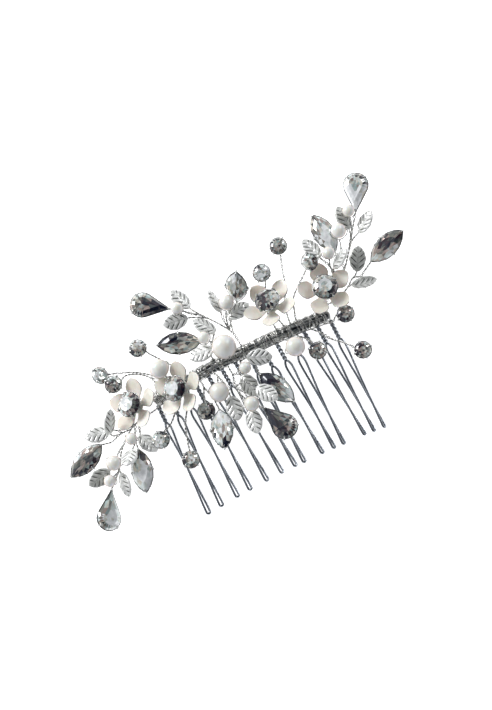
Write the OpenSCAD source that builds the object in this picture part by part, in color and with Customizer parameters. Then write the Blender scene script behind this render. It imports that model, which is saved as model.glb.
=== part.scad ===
// Bridal hair comb: wire hairpin teeth on an arched, wire-bound spine, dressed with
// sprays of enamelled flowers, crystals, drilled pearls and ribbed glass leaves.
//
// X runs along the row of teeth, the teeth point to -Y and +Z faces away from the scalp.
// The origin is the middle of the spine.
//
// An ornament's place is [x, y, height]: x and y in plan, and the height above the arch of
// the spine. Beyond the ends of the spine, the height counts from the level of its ends.

/* [Spine] */
// Length of the spine along its arch
spine_length = 64; // [60:1:80]
// Thickness of the bundle of wires in the spine
spine_d = 4.2; // [3.6:0.1:5]
// Radius of the arch that follows the head
arch_r = 90; // [80:1:130]
// Thickness of the wire that binds the spine
binding_d = 0.35; // [0.25:0.05:0.45]

/* [Teeth] */
// Length of a tooth, from the spine to its tip
tooth_length = 40; // [32:1:52]
// Thickness of the wire of the teeth
tooth_wire_d = 0.8; // [0.6:0.05:1]
// Length of the twisted stem between the spine and the fork
tooth_stem = 7; // [5:0.5:9]
// Width of a tooth at its tip
tip_width = 2; // [1.7:0.1:2.4]
// Angle by which the two legs turn about each other between the fork and the tip
half_twist = 150; // [0:5:180]

/* [Wire sprays] */
// Thickness of two twisted strands of stem wire
stem_d = 0.65; // [0.5:0.05:0.8]
// Thickness of the single wire that threads a pearl
pearl_wire_d = 0.3; // [0.25:0.05:0.35]

/* [Pearls] */
// Diameter of the centre pearl
pearl_centre_d = 8; // [6.5:0.1:9]
// Diameter of the large pearls
pearl_large_d = 6.4; // [5.5:0.1:7]
// Diameter of the medium pearls
pearl_medium_d = 5; // [4:0.1:5.5]
// Diameter of the small pearls
pearl_small_d = 4; // [3.2:0.1:4.6]

/* [Crystals] */
// Width of the round crystals on stems
round_d = 5.5; // [4.6:0.1:6.4]
// Width of the round crystals in the flowers
chaton_d = 8; // [6.6:0.1:8.6]
// Length of the pointed oval crystals
navette_l = 14; // [12:0.5:15]
// Width of the pointed oval crystals
navette_w = 7; // [6:0.1:7.5]
// Length of the teardrop crystals
teardrop_l = 13; // [11:0.5:14.5]
// Width of the teardrop crystals
teardrop_w = 8; // [7:0.1:8.8]

/* [Flowers and leaves] */
// Radius of a flower, from its centre to a petal's tip
flower_r = 9.2; // [8:0.1:10]
// Rise of the petals from the flower's centre to their tips
flower_cup = 3; // [2:0.1:4]
// Thickness of the flower's metal with its enamel
flower_t = 0.6; // [0.4:0.05:0.9]
// Length of a glass leaf
leaf_l = 8.4; // [7:0.1:9.2]
// Width of a glass leaf
leaf_w = 5.8; // [5:0.1:6.4]
// Thickness of a glass leaf at its middle
leaf_t = 1.6; // [1.2:0.1:2]

/* [Hidden] */
$fn = 32;
tooth_count = 14;
spine_r = spine_d / 2;
half_arc = spine_length / 2 / arch_r * 180 / PI;
half_span = arch_r * sin(half_arc);
tooth_pitch = spine_length / (tooth_count - 1);
spread = spine_length / 64;
seat_gap = 0.05;
binding_gap = 0.03;
binding_pitch = tooth_pitch / 2;
binding_steps = 10;
binding_ring = (spine_r + binding_d / 2 + binding_gap) / cos(180 / binding_steps);
bore_gap = 0.1;
pearl_bore_r = pearl_wire_d / 2 + bore_gap;
loop_gap = pearl_wire_d / 2 + 0.15;
loop_half_gap = pearl_wire_d / 2 + 0.04;
loop_end = 0.6;
over_petal = 3 * (spread - 1);
chaton_rise = 4.5;
setting_wall = 0.25;
setting_foot = 0.35;
claw_r = 0.3;
claw_out = 0.42;

function tooth_name(i) = str("tooth_", i < 9 ? "0" : "", i + 1);
function pearl_name(i) = str("pearl_", i < 9 ? "0" : "", i + 1);
function flower_name(i) = str("flower_", i + 1);

// ---- Arch of the spine -------------------------------------------------------------

function turn(s) = s / arch_r * 180 / PI;
function arch(s) = [arch_r * sin(turn(s)), 0, arch_r * (cos(turn(s)) - 1)];
function arch_along(s) = [cos(turn(s)), 0, -sin(turn(s))];
function arch_up(s) = [sin(turn(s)), 0, cos(turn(s))];
function arch_drop(x) = sqrt(pow(arch_r, 2) - pow(min(abs(x), half_span), 2)) - arch_r;
function at(p) = [p.x * spread, p.y, arch_drop(p.x * spread) + p.z];

// Direction away from the spine at angle a about it: 0 faces +Y, 90 faces up
function around(s, a) = [0, cos(a), 0] + sin(a) * arch_up(s);
// Middle of the gap between two turns of the binding wire, nearest to s at angle a
function between_turns(s, a) =
    let (phase = binding_pitch * a / 360)
    phase + binding_pitch * (floor((s - phase) / binding_pitch) + 0.5);
function spine_seat(s, a, rise) =
    let (free = between_turns(s * spread, a))
    arch(free) + (spine_r + seat_gap + rise) * around(free, a);

// ---- Wire ----------------------------------------------------------------------------

function unit(v) = v / norm(v);
function square_part(v, axis) = unit(v - axis * (v * axis));
function carried(headings, i, last) =
    i == len(headings) ? [] :
    let (now = square_part(last, headings[i]))
    concat([now], carried(headings, i + 1, now));

function spline(a, b, c, d, t) =
    0.5 * (2 * b + (c - a) * t + (2 * a - 5 * b + 4 * c - d) * pow(t, 2)
        + (3 * b - a - 3 * c + d) * pow(t, 3));
function smooth(p, steps = 2) =
    let (last = len(p) - 1)
    concat(
        [for (i = [0 : last - 1]) for (j = [0 : steps - 1])
            spline(p[max(i - 1, 0)], p[i], p[i + 1], p[min(i + 2, last)], j / steps)],
        [p[last]]
    );

module tube(points, d, sides = 5) {
    last = len(points) - 1;
    headings = [for (i = [0 : last]) unit(points[min(i + 1, last)] - points[max(i - 1, 0)])];
    across = carried(headings, 0, abs(headings[0].z) > 0.8 ? [1, 0.1, 0] : [0.1, 0, 1]);
    rings = [for (i = [0 : last]) for (k = [0 : sides - 1])
        let (turned = 360 * k / sides)
        points[i] + d / 2 * (cos(turned) * across[i] + sin(turned) * cross(headings[i], across[i]))];
    walls = [for (i = [0 : last - 1]) for (k = [0 : sides - 1])
        let (a = i * sides + k, b = i * sides + (k + 1) % sides)
        each [[a, a + sides, b], [a + sides, b + sides, b]]];
    near_end = [for (k = [0 : sides - 1]) k];
    far_end = [for (k = [sides - 1 : -1 : 0]) last * sides + k];
    polyhedron(rings, concat([near_end], walls, [far_end]), convexity = 6);
}

// A twisted pair from the spine at s and angle a, through the places given, to an end point
module stem(s, a, places, end) {
    seat = spine_seat(s, a, 0);
    route = concat([spine_seat(s, a, 0.35), spine_seat(s, a, 1.25)], [for (p = places) at(p)]);
    tube(concat([seat], smooth(concat(route, [end]))), stem_d);
}

// A twisted pair that leaves another one at the first place given
module branch(places, end) {
    tube(smooth(concat([for (p = places) at(p)], [end])), stem_d * 0.92);
}

// ---- Ornament places -------------------------------------------------------------------

// Each long ornament is [place, heading, pitch, roll]: it points along its heading in plan,
// its far end is raised by pitch, and roll turns it about its own length.
function pointing(o) = [cos(o[2]) * cos(o[1]), cos(o[2]) * sin(o[1]), sin(o[2])];
module placed(o) {
    translate(at(o[0]))
        rotate([0, 0, o[1]])
            rotate([0, -o[2], 0])
                rotate([o[3], 0, 0])
                    children();
}
function tail(o, reach) = at(o[0]) - pointing(o) * reach;

// Teardrops, placed by the middle of their round end
teardrops = [
    [[58.5, 34, 4.7], 64, 0, 0],
    [[-21.5, 29, 3.2], 145, 0, 0],
    [[-61.5, -29.5, 3], 240, 0, -30],
    [[2.8, -29.6, 4], -69, 0, 0],
];
teardrop_tail = teardrop_l - teardrop_w / 2 + 0.95;

// Pointed ovals, placed by their middle
navettes = [
    [[-16.2, 11.8, 2.4], 158, 0, -8],
    [[8.8, 19, 6.4], 54, 62, 0],
    [[42.1, 23.8, 5.6], 96, 0, 0],
    [[58.6, 10.8, 4.7], 15, 15, 0],
    [[-60, -9.2, 3.7], 199, -10, 0],
    [[-45, -20.6, 3.7], 255, 0, 10],
    [[-15.8, -21.2, 4.8], 253, 15, 0],
    [[6, -17, 4.6], -65, 0, 0],
];
navette_tail = navette_l / 2 + 0.95;

// Round crystals, which face up from their stems: [place, heading, lean, 0]
rounds = [
    [[26.8, 26.2, 6.1], 80, 0, 0],
    [[18, 19.2, 8.4], 90, 10, 0],
    [[33.6, 15.6, 11.8], 30, 35, 0],
    [[-29, 16.4, 5.8], 135, 0, 0],
    [[-44, 14.5, 4], 170, 30, 0],
    [[-41.3, 9.4, 5.6], 175, 0, 0],
    [[-35.2, -14.7, 6.6], 225, 0, 0],
    [[-29.2, -25, 5.9], 250, 0, 0],
    [[-17.8, -13, 3.9], 250, 0, 0],
    [[36.6, -3.8, 5.6], -30, 0, 0],
    [[36.4, -17.5, 6.7], -45, 0, 0],
    [[23.2, -11.6, 6.2], -80, 0, 0],
];
round_tail = round_d / 2 + 0.75;

// Glass leaves
leaves_top_right = [
    [[50, 25.8, 5.2], 92, 10, 35],
    [[55.8, 21.2, 5.6], 30, 20, -30],
    [[36, 20, 9.2], 106, 0, 25],
    [[43, 12.6, 9.6], 20, 35, -40],
];
leaves_right = [
    [[48.2, 11.2, 5.4], 60, 15, 20],
    [[46.8, 3.6, 3.4], -12, 0, 68],
];
leaves_upper_left = [
    [[-9.6, 24.6, 2.8], 112, 10, 25],
    [[-14.2, 18.5, 3.7], 172, 4, -18],
    [[0.2, 18.4, 4.4], 96, 20, 60],
    [[5.9, 12.3, 2.9], 6, 4, -14],
    [[-6.4, 12.6, 3.4], 128, 10, 30],
    [[-11.2, 4.6, 4.2], 176, 0, 15],
];
leaves_lower_left = [
    [[-53.2, -3.2, 4.6], 172, 10, 10],
    [[-47.6, -1.8, 7.4], 60, 20, 60],
    [[-58.6, -16.6, 5], -165, 10, -25],
    [[-52, -22, 3.2], -95, 0, 50],
    [[-39.4, -13, 3.2], -70, 10, -20],
    [[-46.8, -15.6, 7.6], -124, 40, 20],
];
leaves_centre = [
    [[-9.2, -16.6, 3.2], -97, 0, 0],
    [[5.4, -5.4, 5], -25, 0, 25],
    [[-1.6, -11.6, 1.9], -80, 0, 12],
    [[2.4, -18, 7.6], -58, 10, 0],
    [[-5.4, -23.2, 2.3], -100, 0, 10],
];
leaf_tail = leaf_l / 2 + 0.5;

// Flowers: [place of the centre, heading that the face leans to, lean, turn of the petals]
flowers = [
    [[-37.4, -0.2, 2.6], 156, 28, -5],
    [[-21.7, -3, 4], 165, 28, -4],
    [[16.1, 8.3, 4.2], 100, 22, 36],
    [[33.9, 6.2, 4.8], 20, 8, 12],
];
module flower_frame(f) {
    translate(at(f[0]))
        rotate([0, 0, f[1]])
            rotate([0, f[2], 0])
                rotate([0, 0, f[3] - f[1]])
                    children();
}
function flower_facing(f) = [sin(f[2]) * cos(f[1]), sin(f[2]) * sin(f[1]), cos(f[2])];
function flower_back(f) = at(f[0]) - flower_facing(f) * 0.12;

// Pearls: [diameter, place, place that the stem comes from]
pearls = [
    [pearl_centre_d, [-3.5, 2.3, 7.4], [-3.2, 1.6, 2.4]],
    [pearl_large_d, [-25.6, 6.2, 7.8 + over_petal], [-24.4, 3, 3]],
    [pearl_large_d, [17.2, -7.3, 5.8], [16, -3.4, 2.4]],
    [pearl_large_d, [-11.4, -9.8, 5.2], [-9.6, -4, 3]],
    [pearl_medium_d, [3.5, 15.6, 6.6], [1.2, 11.6, 3.8]],
    [pearl_medium_d, [46.6, 21.6, 8.8], [44.2, 14.5, 6.6]],
    [pearl_medium_d, [-52.2, -14.8, 7.4], [-48.6, -11.4, 4.6]],
    [pearl_medium_d, [-3.6, -18.4, 5.8], [-4.2, -13.4, 4.8]],
    [pearl_small_d, [-11.8, 21.4, 6.8], [-8.6, 18.4, 3.4]],
    [pearl_small_d, [-8.2, 8.6, 6], [-6, 5.6, 3.6]],
    [pearl_small_d, [52.4, 26.4, 8], [50.6, 20.4, 5.8]],
    [pearl_small_d, [40.4, 16, 10.2], [39, 12.4, 6.6]],
    [pearl_small_d, [-55.8, -19.6, 7.2], [-51.8, -17.2, 4.6]],
    [pearl_small_d, [-43.6, -10.2, 7.6], [-41.8, -8.4, 4.4]],
    [pearl_small_d, [-0.4, -6.7, 6], [-1, -3.8, 3.2]],
];
function to_stem(p) = unit(at(p[2]) - at(p[1]));
function bore_axis(p) =
    let (down = to_stem(p))
    abs(down.z) > 0.9 ? unit(cross(down, [1, 0, 0])) : unit(cross(down, [0, 0, 1]));
function loop_reach(p) = p[0] / 2 / cos(15) + loop_gap;
function pearl_foot(p) = at(p[1]) + to_stem(p) * (loop_reach(p) + loop_end / 2);

// ---- Comb ------------------------------------------------------------------------------

module spine_core() {
    color("slategray")
        translate([0, 0, -arch_r])
            rotate([90, 0, 0])
                rotate([0, 0, 90 - half_arc])
                    rotate_extrude(angle = 2 * half_arc, $fn = 360)
                        translate([arch_r, 0])
                            circle(r = spine_r);
}

module binding_wire() {
    ends = binding_steps * (tooth_count - 1.5);
    color("silver")
        tube(
            [for (i = [-ends : ends])
                arch(binding_pitch * i / binding_steps)
                    + binding_ring * around(binding_pitch * i / binding_steps, 360 * i / binding_steps)],
            binding_d, 4
        );
}

// One wire bent into a hairpin, with its two ends twisted together as the stem
module tooth(i) {
    s = (i - (tooth_count - 1) / 2) * tooth_pitch;
    lean = [1.5, 1, -1, -1, -3, -4, -4, -1.5, -4, -3, -1, -5, -3, -1.5][i];
    dip = asin((spine_r - tooth_wire_d / 2) / tooth_length);
    shut = tooth_wire_d / 2 + 0.06;
    tip = (tip_width - tooth_wire_d) / 2;
    body = tooth_length - tooth_stem;
    leg = [
        [shut + 0.05, -0.8],
        [0.75, 0.5],
        [0.98, 1.8],
        [0.95, 0.12 * body],
        [0.7, 0.3 * body],
        [shut, 0.5 * body],
        [shut, 0.66 * body],
        [tip, 0.88 * body],
        [tip, body - 1.1],
        [tip * 0.72, body - 0.62],
        [0, body - tooth_wire_d / 2],
    ];
    bottom = len(leg) - 1;
    swing = [for (place = leg) half_twist * max(0, place.y) / body];
    hairpin = concat(
        [for (k = [0 : bottom])
            [-leg[k].x * cos(swing[k]), -tooth_stem - leg[k].y, -leg[k].x * sin(swing[k])]],
        [for (k = [bottom - 1 : -1 : 0])
            [leg[k].x * cos(swing[k]), -tooth_stem - leg[k].y, leg[k].x * sin(swing[k])]]
    );
    color("lightsteelblue")
        translate(arch(s))
            rotate([0, turn(s), 0])
                translate([0, -spine_r - seat_gap, 0])
                    rotate([dip, 0, -lean]) {
                        tube(hairpin, tooth_wire_d, 6);
                        rotate([90, 0, 0])
                            cylinder(r = tooth_wire_d * 0.88, h = tooth_stem + 0.4, $fn = 10);
                    }
}

// ---- Outlines --------------------------------------------------------------------------

function round_outline(w) = [for (k = [0 : 11]) w / 2 * [cos(30 * k), sin(30 * k)]];
function navette_outline(l, w) =
    let (bow = (l * l + w * w) / (4 * w))
    [for (k = [0 : 11])
        let (x = l / 2 * cos(30 * k))
        [x, sign(round(100 * sin(30 * k))) * (sqrt(bow * bow - x * x) - bow + w / 2)]];
function teardrop_outline(l, w) =
    let (touch = 90 + asin(w / 2 / (l - w / 2)) - 4)
    concat(
        [for (k = [0 : 10]) w / 2 * [cos(touch * (k / 5 - 1)), sin(touch * (k / 5 - 1))]],
        [[w / 2 - l, 0]]
    );

// Solid made of copies of an outline, each level being [scale, height]
module stacked(outline, levels) {
    sides = len(outline);
    top = len(levels) - 1;
    points = [for (level = levels) for (p = outline) [p.x * level[0], p.y * level[0], level[1]]];
    walls = [for (i = [0 : top - 1]) for (k = [0 : sides - 1])
        let (a = i * sides + k, b = i * sides + (k + 1) % sides)
        each [[a, a + sides, b], [a + sides, b + sides, b]]];
    floor_face = [for (k = [0 : sides - 1]) k];
    top_face = [for (k = [sides - 1 : -1 : 0]) top * sides + k];
    polyhedron(points, concat([floor_face], walls, [top_face]), convexity = 6);
}

// ---- Crystals and their settings -------------------------------------------------------

crown_part = 0.16;
girdle_part = 0.06;
pavilion_part = 0.3;

// Faceted stone of width w: its girdle starts at height 0
module crystal(outline, w) {
    color("aliceblue")
        stacked(outline, [
            [0.08, -pavilion_part * w],
            [1, 0],
            [1, girdle_part * w],
            [0.8, (girdle_part + 0.6 * crown_part) * w],
            [0.55, (girdle_part + crown_part) * w],
        ]);
}

// Cup under a stone, with a claw at each listed corner of the outline
module setting(outline, w, claws, foot = 0) {
    rim = girdle_part * w * 0.6;
    base = -pavilion_part * w - 0.15;
    under = base - setting_foot;
    color("silver") {
        stacked(outline, [
            [0.36, under - foot],
            [0.5, under + foot / 2],
            [1.03 + 2 * setting_wall / w, rim],
            [1.03, rim],
            [1.03, 0],
            [0.12, base],
        ]);
        for (k = claws)
            translate(outline[k] + unit(outline[k]) * claw_out)
                translate([0, 0, -1])
                    rotate([0, 0, atan2(outline[k].y, outline[k].x) + 45])
                        cylinder(r = claw_r, h = 1 + (girdle_part + 0.5 * crown_part) * w, $fn = 4);
    }
}

module teardrop_crystals() {
    for (o = teardrops)
        placed(o) crystal(teardrop_outline(teardrop_l, teardrop_w), teardrop_w);
}
module teardrop_settings() {
    for (o = teardrops)
        placed(o) setting(teardrop_outline(teardrop_l, teardrop_w), teardrop_w, [2, 8, 11]);
}
module navette_crystals() {
    for (o = navettes)
        placed(o) crystal(navette_outline(navette_l, navette_w), navette_w);
}
module navette_settings() {
    for (o = navettes)
        placed(o) setting(navette_outline(navette_l, navette_w), navette_w, [0, 3, 6, 9]);
}
module round_crystals() {
    for (o = rounds)
        placed(o) crystal(round_outline(round_d), round_d);
}
module round_settings() {
    for (o = rounds)
        placed(o) setting(round_outline(round_d), round_d, [1, 4, 7, 10]);
}
module flower_crystals() {
    for (f = flowers)
        flower_frame(f) translate([0, 0, chaton_rise]) crystal(round_outline(chaton_d), chaton_d);
}
module flower_settings() {
    foot = chaton_rise - flower_t - pavilion_part * chaton_d - 0.5 - seat_gap;
    for (f = flowers)
        flower_frame(f)
            translate([0, 0, chaton_rise])
                setting(round_outline(chaton_d), chaton_d, [0, 3, 6, 9], foot);
}

// ---- Flowers ---------------------------------------------------------------------------

// Height of a petal at radius r, at an angle from the petal's middle line
function petal_lift(r, angle) =
    flower_cup * pow(max(0, r - 2) / (flower_r - 2), 1.3)
    + 0.9 * pow(angle / 36, 2) * pow(r / flower_r, 2);

// One stamped flower of five spoon-shaped petals, with a hole for its wire
module flower(i) {
    petal = [[0, 1], [10, 0.93], [20, 0.79], [29, 0.58], [36, 0.27]];
    half = concat(petal, [for (k = [3 : -1 : 1]) [72 - petal[k][0], petal[k][1]]]);
    rim = [for (p = [0 : 4]) for (h = half) [72 * p + h[0], h[1], min(h[0], 72 - h[0])]];
    rings = [0.6, 2.4, 5.6, flower_r];
    profile = [for (e = rim)
        let (outer = e[1] * flower_r)
        let (radii = [for (r = rings) rings[0] + (outer - rings[0]) * (r - rings[0]) / (flower_r - rings[0])])
        let (lift = [for (r = radii) petal_lift(r, e[2])])
        concat(
            [for (k = [0 : 3]) [radii[k] * cos(e[0]), radii[k] * sin(e[0]), lift[k]]],
            [for (k = [3 : -1 : 0]) [radii[k] * cos(e[0]), radii[k] * sin(e[0]), lift[k] + flower_t]]
        )];
    around_count = len(rim);
    loop = 8;
    faces = [for (j = [0 : around_count - 1]) for (k = [0 : loop - 1])
        let (a = j * loop + k, b = j * loop + (k + 1) % loop)
        let (c = (j + 1) % around_count * loop + (k + 1) % loop, d = (j + 1) % around_count * loop + k)
        each [[a, b, c], [a, c, d]]];
    color("ivory")
        flower_frame(flowers[i])
            polyhedron([for (line = profile) each line], faces, convexity = 6);
}

// ---- Leaves ----------------------------------------------------------------------------

// Domed glass leaf with a pointed far end, placed by its middle
module leaf(o) {
    outline = [[-0.5, 0.1], [-0.3, 0.38], [0, 0.5], [0.28, 0.36]];
    edge = concat(
        [[leaf_l / 2, 0]],
        [for (k = [3 : -1 : 0]) [outline[k].x * leaf_l, outline[k].y * leaf_w]],
        [for (e = outline) [e.x * leaf_l, -e.y * leaf_w]]
    );
    color("azure")
        placed(o)
            stacked(edge, [
                [0.45, -leaf_t / 2],
                [1, -leaf_t / 6],
                [1, leaf_t / 6],
                [0.45, leaf_t / 2],
            ]);
}
module leaves(list) {
    for (o = list)
        leaf(o);
}

// ---- Pearls ----------------------------------------------------------------------------

module pearl(i) {
    p = pearls[i];
    axis = bore_axis(p);
    color("seashell")
        translate(at(p[1]))
            rotate([0, acos(axis.z), atan2(axis.y, axis.x)])
                difference() {
                    sphere(d = p[0], $fn = 48);
                    cylinder(r = pearl_bore_r, h = p[0] + 1, center = true);
                }
}

// Wire that threads a pearl and comes down both of its sides to the stem
module pearl_loop(p) {
    down = to_stem(p);
    side = bore_axis(p);
    reach = loop_reach(p);
    angles = [asin(loop_half_gap / reach), 30, 60, 90];
    foot = at(p[1]) + down * (reach + loop_end);
    tube(
        concat(
            [foot + side * loop_half_gap],
            [for (a = angles) at(p[1]) + reach * (down * cos(a) + side * sin(a))],
            [at(p[1])],
            [for (k = [3 : -1 : 0])
                at(p[1]) + reach * (down * cos(angles[k]) - side * sin(angles[k]))],
            [foot - side * loop_half_gap]
        ),
        pearl_wire_d
    );
}

// ---- Stems -----------------------------------------------------------------------------

module stems_top_right() {
    color("silver") {
        stem(29, 60, [[36.5, 5.5, 2.2], [42.3, 9.6, 4.4], [46.4, 14.4, 5], [50.6, 20.4, 4.6]],
            tail(teardrops[0], teardrop_tail));
        branch([[42.3, 9.6, 4.4], [44.2, 14.5, 6.6]], pearl_foot(pearls[5]));
        branch([[49, 18, 4.9], [50.6, 20.4, 5.8]], pearl_foot(pearls[10]));
        branch([[47.6, 16, 5], [49.6, 19.6, 4.8]], tail(leaves_top_right[0], leaf_tail));
        branch([[46.4, 14.4, 5], [49, 17.6, 4.4]], tail(leaves_top_right[1], leaf_tail));
        branch([[38.6, 7, 2.9], [39.2, 10.6, 5.2], [41.4, 13.4, 5]], tail(navettes[2], navette_tail));
        branch([[38.8, 8.6, 4], [39, 12.4, 6.6]], pearl_foot(pearls[11]));
        branch([[39, 9.6, 4.6], [39, 12.4, 6.2]], tail(leaves_top_right[2], leaf_tail));
        branch([[38.6, 7, 2.9], [38.4, 10, 4.6]], tail(leaves_top_right[3], leaf_tail));
        pearl_loop(pearls[5]);
        pearl_loop(pearls[10]);
        pearl_loop(pearls[11]);
    }
}

module stems_right() {
    color("silver") {
        stem(31, -5, [[36, 3.1, 0.6], [41, 4.8, 1.8], [44, 6.6, 3.2], [46.6, 5.8, 4.2], [49, 7, 4.4]],
            tail(navettes[3], navette_tail));
        branch([[44, 6.6, 3.2], [45.2, 7, 3.9]], tail(leaves_right[0], leaf_tail));
        branch([[41, 4.8, 1.8], [42.6, 4.9, 3]], tail(leaves_right[1], leaf_tail));
    }
}

module stems_top() {
    color("silver") {
        stem(19.7, 50, [[20, 7, 1.4], [21.6, 10.6, 2.4], [23.6, 14.6, 3.2], [24.6, 18.6, 4.4]],
            tail(rounds[0], round_tail));
        stem(13, 45, [[14, 7.4, 1], [15.8, 13, 1.2], [17.6, 16.4, 4.6]], tail(rounds[1], round_tail));
        stem(21, 40, [[23.6, 8.4, 3.2], [27, 11.6, 5], [30, 13.6, 7.4]], tail(rounds[2], round_tail));
    }
}

module stems_upper_left() {
    color("silver") {
        stem(1.5, 50, [[1.2, 6.4, 1.6], [-1.4, 11, 2], [-4.9, 15.6, 2.6], [-8, 18.6, 2.8]],
            tail(teardrops[1], teardrop_tail));
        branch([[-6.4, 17.2, 2.8], [-8.6, 18.4, 3.4]], pearl_foot(pearls[8]));
        branch([[-4.9, 15.6, 2.6], [-7.2, 19, 2.8]], tail(leaves_upper_left[0], leaf_tail));
        branch([[-4, 14.6, 2.5], [-7.4, 16.6, 3]], tail(leaves_upper_left[1], leaf_tail));
        branch([[0.4, 8, 1.8], [1.2, 11.6, 3.8]], pearl_foot(pearls[4]));
        branch([[0.4, 8, 1.8], [0.2, 11.2, 2.8]], tail(leaves_upper_left[2], leaf_tail));
        branch([[1.2, 6.4, 1.6], [1.8, 9.6, 2.2]], tail(leaves_upper_left[3], leaf_tail));
        branch([[0.4, 8, 1.8], [2.4, 11, 1.2], [4.6, 13.4, 0.4]], tail(navettes[1], navette_tail));
        stem(-3.2, 90, [], pearl_foot(pearls[0]));
        stem(-6, 60, [[-6, 5.6, 3.6]], pearl_foot(pearls[9]));
        stem(-8, 30, [[-8, 5.4, 1.6], [-8.4, 7.6, 1.8]], tail(navettes[0], navette_tail));
        branch([[-8, 5.4, 1.6], [-5.6, 8, 2]], tail(leaves_upper_left[4], leaf_tail));
        branch([[-7.4, 4.4, 1.4], [-6.6, 4.6, 3.6]], tail(leaves_upper_left[5], leaf_tail));
        pearl_loop(pearls[0]);
        pearl_loop(pearls[4]);
        pearl_loop(pearls[8]);
        pearl_loop(pearls[9]);
    }
}

module stems_left() {
    color("silver") {
        stem(-20, 40, [[-20.9, 5.7, 1.4], [-23.3, 9.1, 2.8], [-26, 12.6, 4.4]],
            tail(rounds[3], round_tail));
        stem(-26, 20, [[-28.5, 7, 1.6], [-33, 10.6, 2.2], [-38.2, 12.8, 2.8]],
            tail(rounds[4], round_tail));
        stem(-29, 40, [[-29.4, 6.4, 2.4], [-32.6, 9.4, 3.2], [-36.4, 10.4, 4.8]],
            tail(rounds[5], round_tail));
        stem(-24.4, 70, [[-24.4, 3, 3]], pearl_foot(pearls[1]));
        stem(-24.6, 150, [[-25.4, -5.2, 1.4], [-28, -8.6, 2.4], [-30.6, -11, 4]],
            tail(rounds[6], round_tail));
        stem(-19.7, 160, [[-22, -7, 1.6], [-25.8, -13, 2.8], [-27.6, -19, 4.6]],
            tail(rounds[7], round_tail));
        pearl_loop(pearls[1]);
    }
}

module stems_lower_left() {
    color("silver") {
        stem(-29.5, 150, [[-35, -3.6, 0.6], [-40.4, -4.6, 1.2], [-44.4, -7.4, 2.6],
            [-48.4, -11.4, 3.2], [-51.6, -16.4, 3]], tail(teardrops[2], teardrop_tail));
        branch([[-42.4, -5.8, 1.9], [-46.4, -6, 3], [-50, -7.2, 3.6]], tail(navettes[4], navette_tail));
        branch([[-45.4, -5.9, 2.8], [-47.4, -4.2, 4]], tail(leaves_lower_left[0], leaf_tail));
        branch([[-46.4, -6, 3], [-48.4, -6, 4.6]], tail(leaves_lower_left[1], leaf_tail));
        branch([[-46.4, -9.4, 2.9], [-48.4, -10.9, 4.4]], pearl_foot(pearls[6]));
        branch([[-50, -13.9, 3.1], [-51.8, -17.2, 4.6]], pearl_foot(pearls[12]));
        branch([[-50, -13.9, 3.1], [-52.6, -15.4, 4]], tail(leaves_lower_left[2], leaf_tail));
        branch([[-50, -13.9, 3.1], [-51.4, -16, 2.6]], tail(leaves_lower_left[3], leaf_tail));
        branch([[-42.6, -9, 2], [-43.6, -11.4, 3.8]], tail(leaves_lower_left[5], leaf_tail));
        branch([[-40.4, -4.6, 1.2], [-42.6, -9, 2]], tail(navettes[5], navette_tail));
        branch([[-41.2, -7, 2], [-41.8, -8.4, 4.4]], pearl_foot(pearls[13]));
        branch([[-39.4, -4.5, 1.1], [-39.8, -6.4, 1.6]], tail(leaves_lower_left[4], leaf_tail));
        pearl_loop(pearls[6]);
        pearl_loop(pearls[12]);
        pearl_loop(pearls[13]);
    }
}

module stems_centre() {
    color("silver") {
        stem(-9.8, 140, [[-9.6, -4, 3]], pearl_foot(pearls[3]));
        branch([[-9.7, -3.6, 2.7], [-8.6, -8, 2.4]], tail(leaves_centre[0], leaf_tail));
        stem(-14.8, 150, [[-15.2, -5, 1.8], [-16.4, -8, 2.6]], tail(rounds[8], round_tail));
        branch([[-15.2, -5, 1.8], [-14, -9.6, 3.2]], tail(navettes[6], navette_tail));
        stem(0, 130, [[-1, -3.8, 3.2]], pearl_foot(pearls[14]));
        branch([[-0.6, -3.2, 2.9], [0.6, -3.4, 4]], tail(leaves_centre[1], leaf_tail));
        stem(-4.9, 160, [[-5, -6, 1.8], [-5.8, -10, 2.2], [-5, -14.4, 2.4], [-2.4, -19, 3]],
            tail(teardrops[3], teardrop_tail));
        branch([[-5.8, -10, 2.2], [-4.2, -13.4, 4.8]], pearl_foot(pearls[7]));
        branch([[-5, -6, 1.8], [-3.2, -6.2, 1.8]], tail(leaves_centre[2], leaf_tail));
        branch([[-5.8, -10, 2.2], [-2.6, -10.6, 5]], tail(leaves_centre[3], leaf_tail));
        branch([[-5.5, -12.4, 2.3], [-5.6, -16, 2.3]], tail(leaves_centre[4], leaf_tail));
        stem(4.9, 150, [[4, -5, 2], [3, -7.6, 3.4]], tail(navettes[7], navette_tail));
        pearl_loop(pearls[3]);
        pearl_loop(pearls[7]);
        pearl_loop(pearls[14]);
    }
}

module stems_lower_right() {
    color("silver") {
        stem(14.8, 140, [[16, -3.4, 2.4]], pearl_foot(pearls[2]));
        stem(19.7, 160, [[21.4, -5, 2.2], [22.6, -7.4, 4.4]], tail(rounds[11], round_tail));
        stem(24.6, 150, [[26.4, -5, 2.2], [29, -9, 3.6], [32.6, -12.8, 5.4]],
            tail(rounds[10], round_tail));
        stem(29.5, 150, [[31.8, -3.4, 2.4], [33, -3, 4.4]], tail(rounds[9], round_tail));
        pearl_loop(pearls[2]);
    }
}

module stems_flowers() {
    color("silver") {
        stem(-30.5, 100, [[-35.6, 0.2, 0.8]], flower_back(flowers[0]));
        stem(-21.2, 115, [], flower_back(flowers[1]));
        stem(16, 70, [[16, 5.6, 2.2]], flower_back(flowers[2]));
        stem(31, 30, [[33, 4.4, 2.6]], flower_back(flowers[3]));
    }
}

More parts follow.
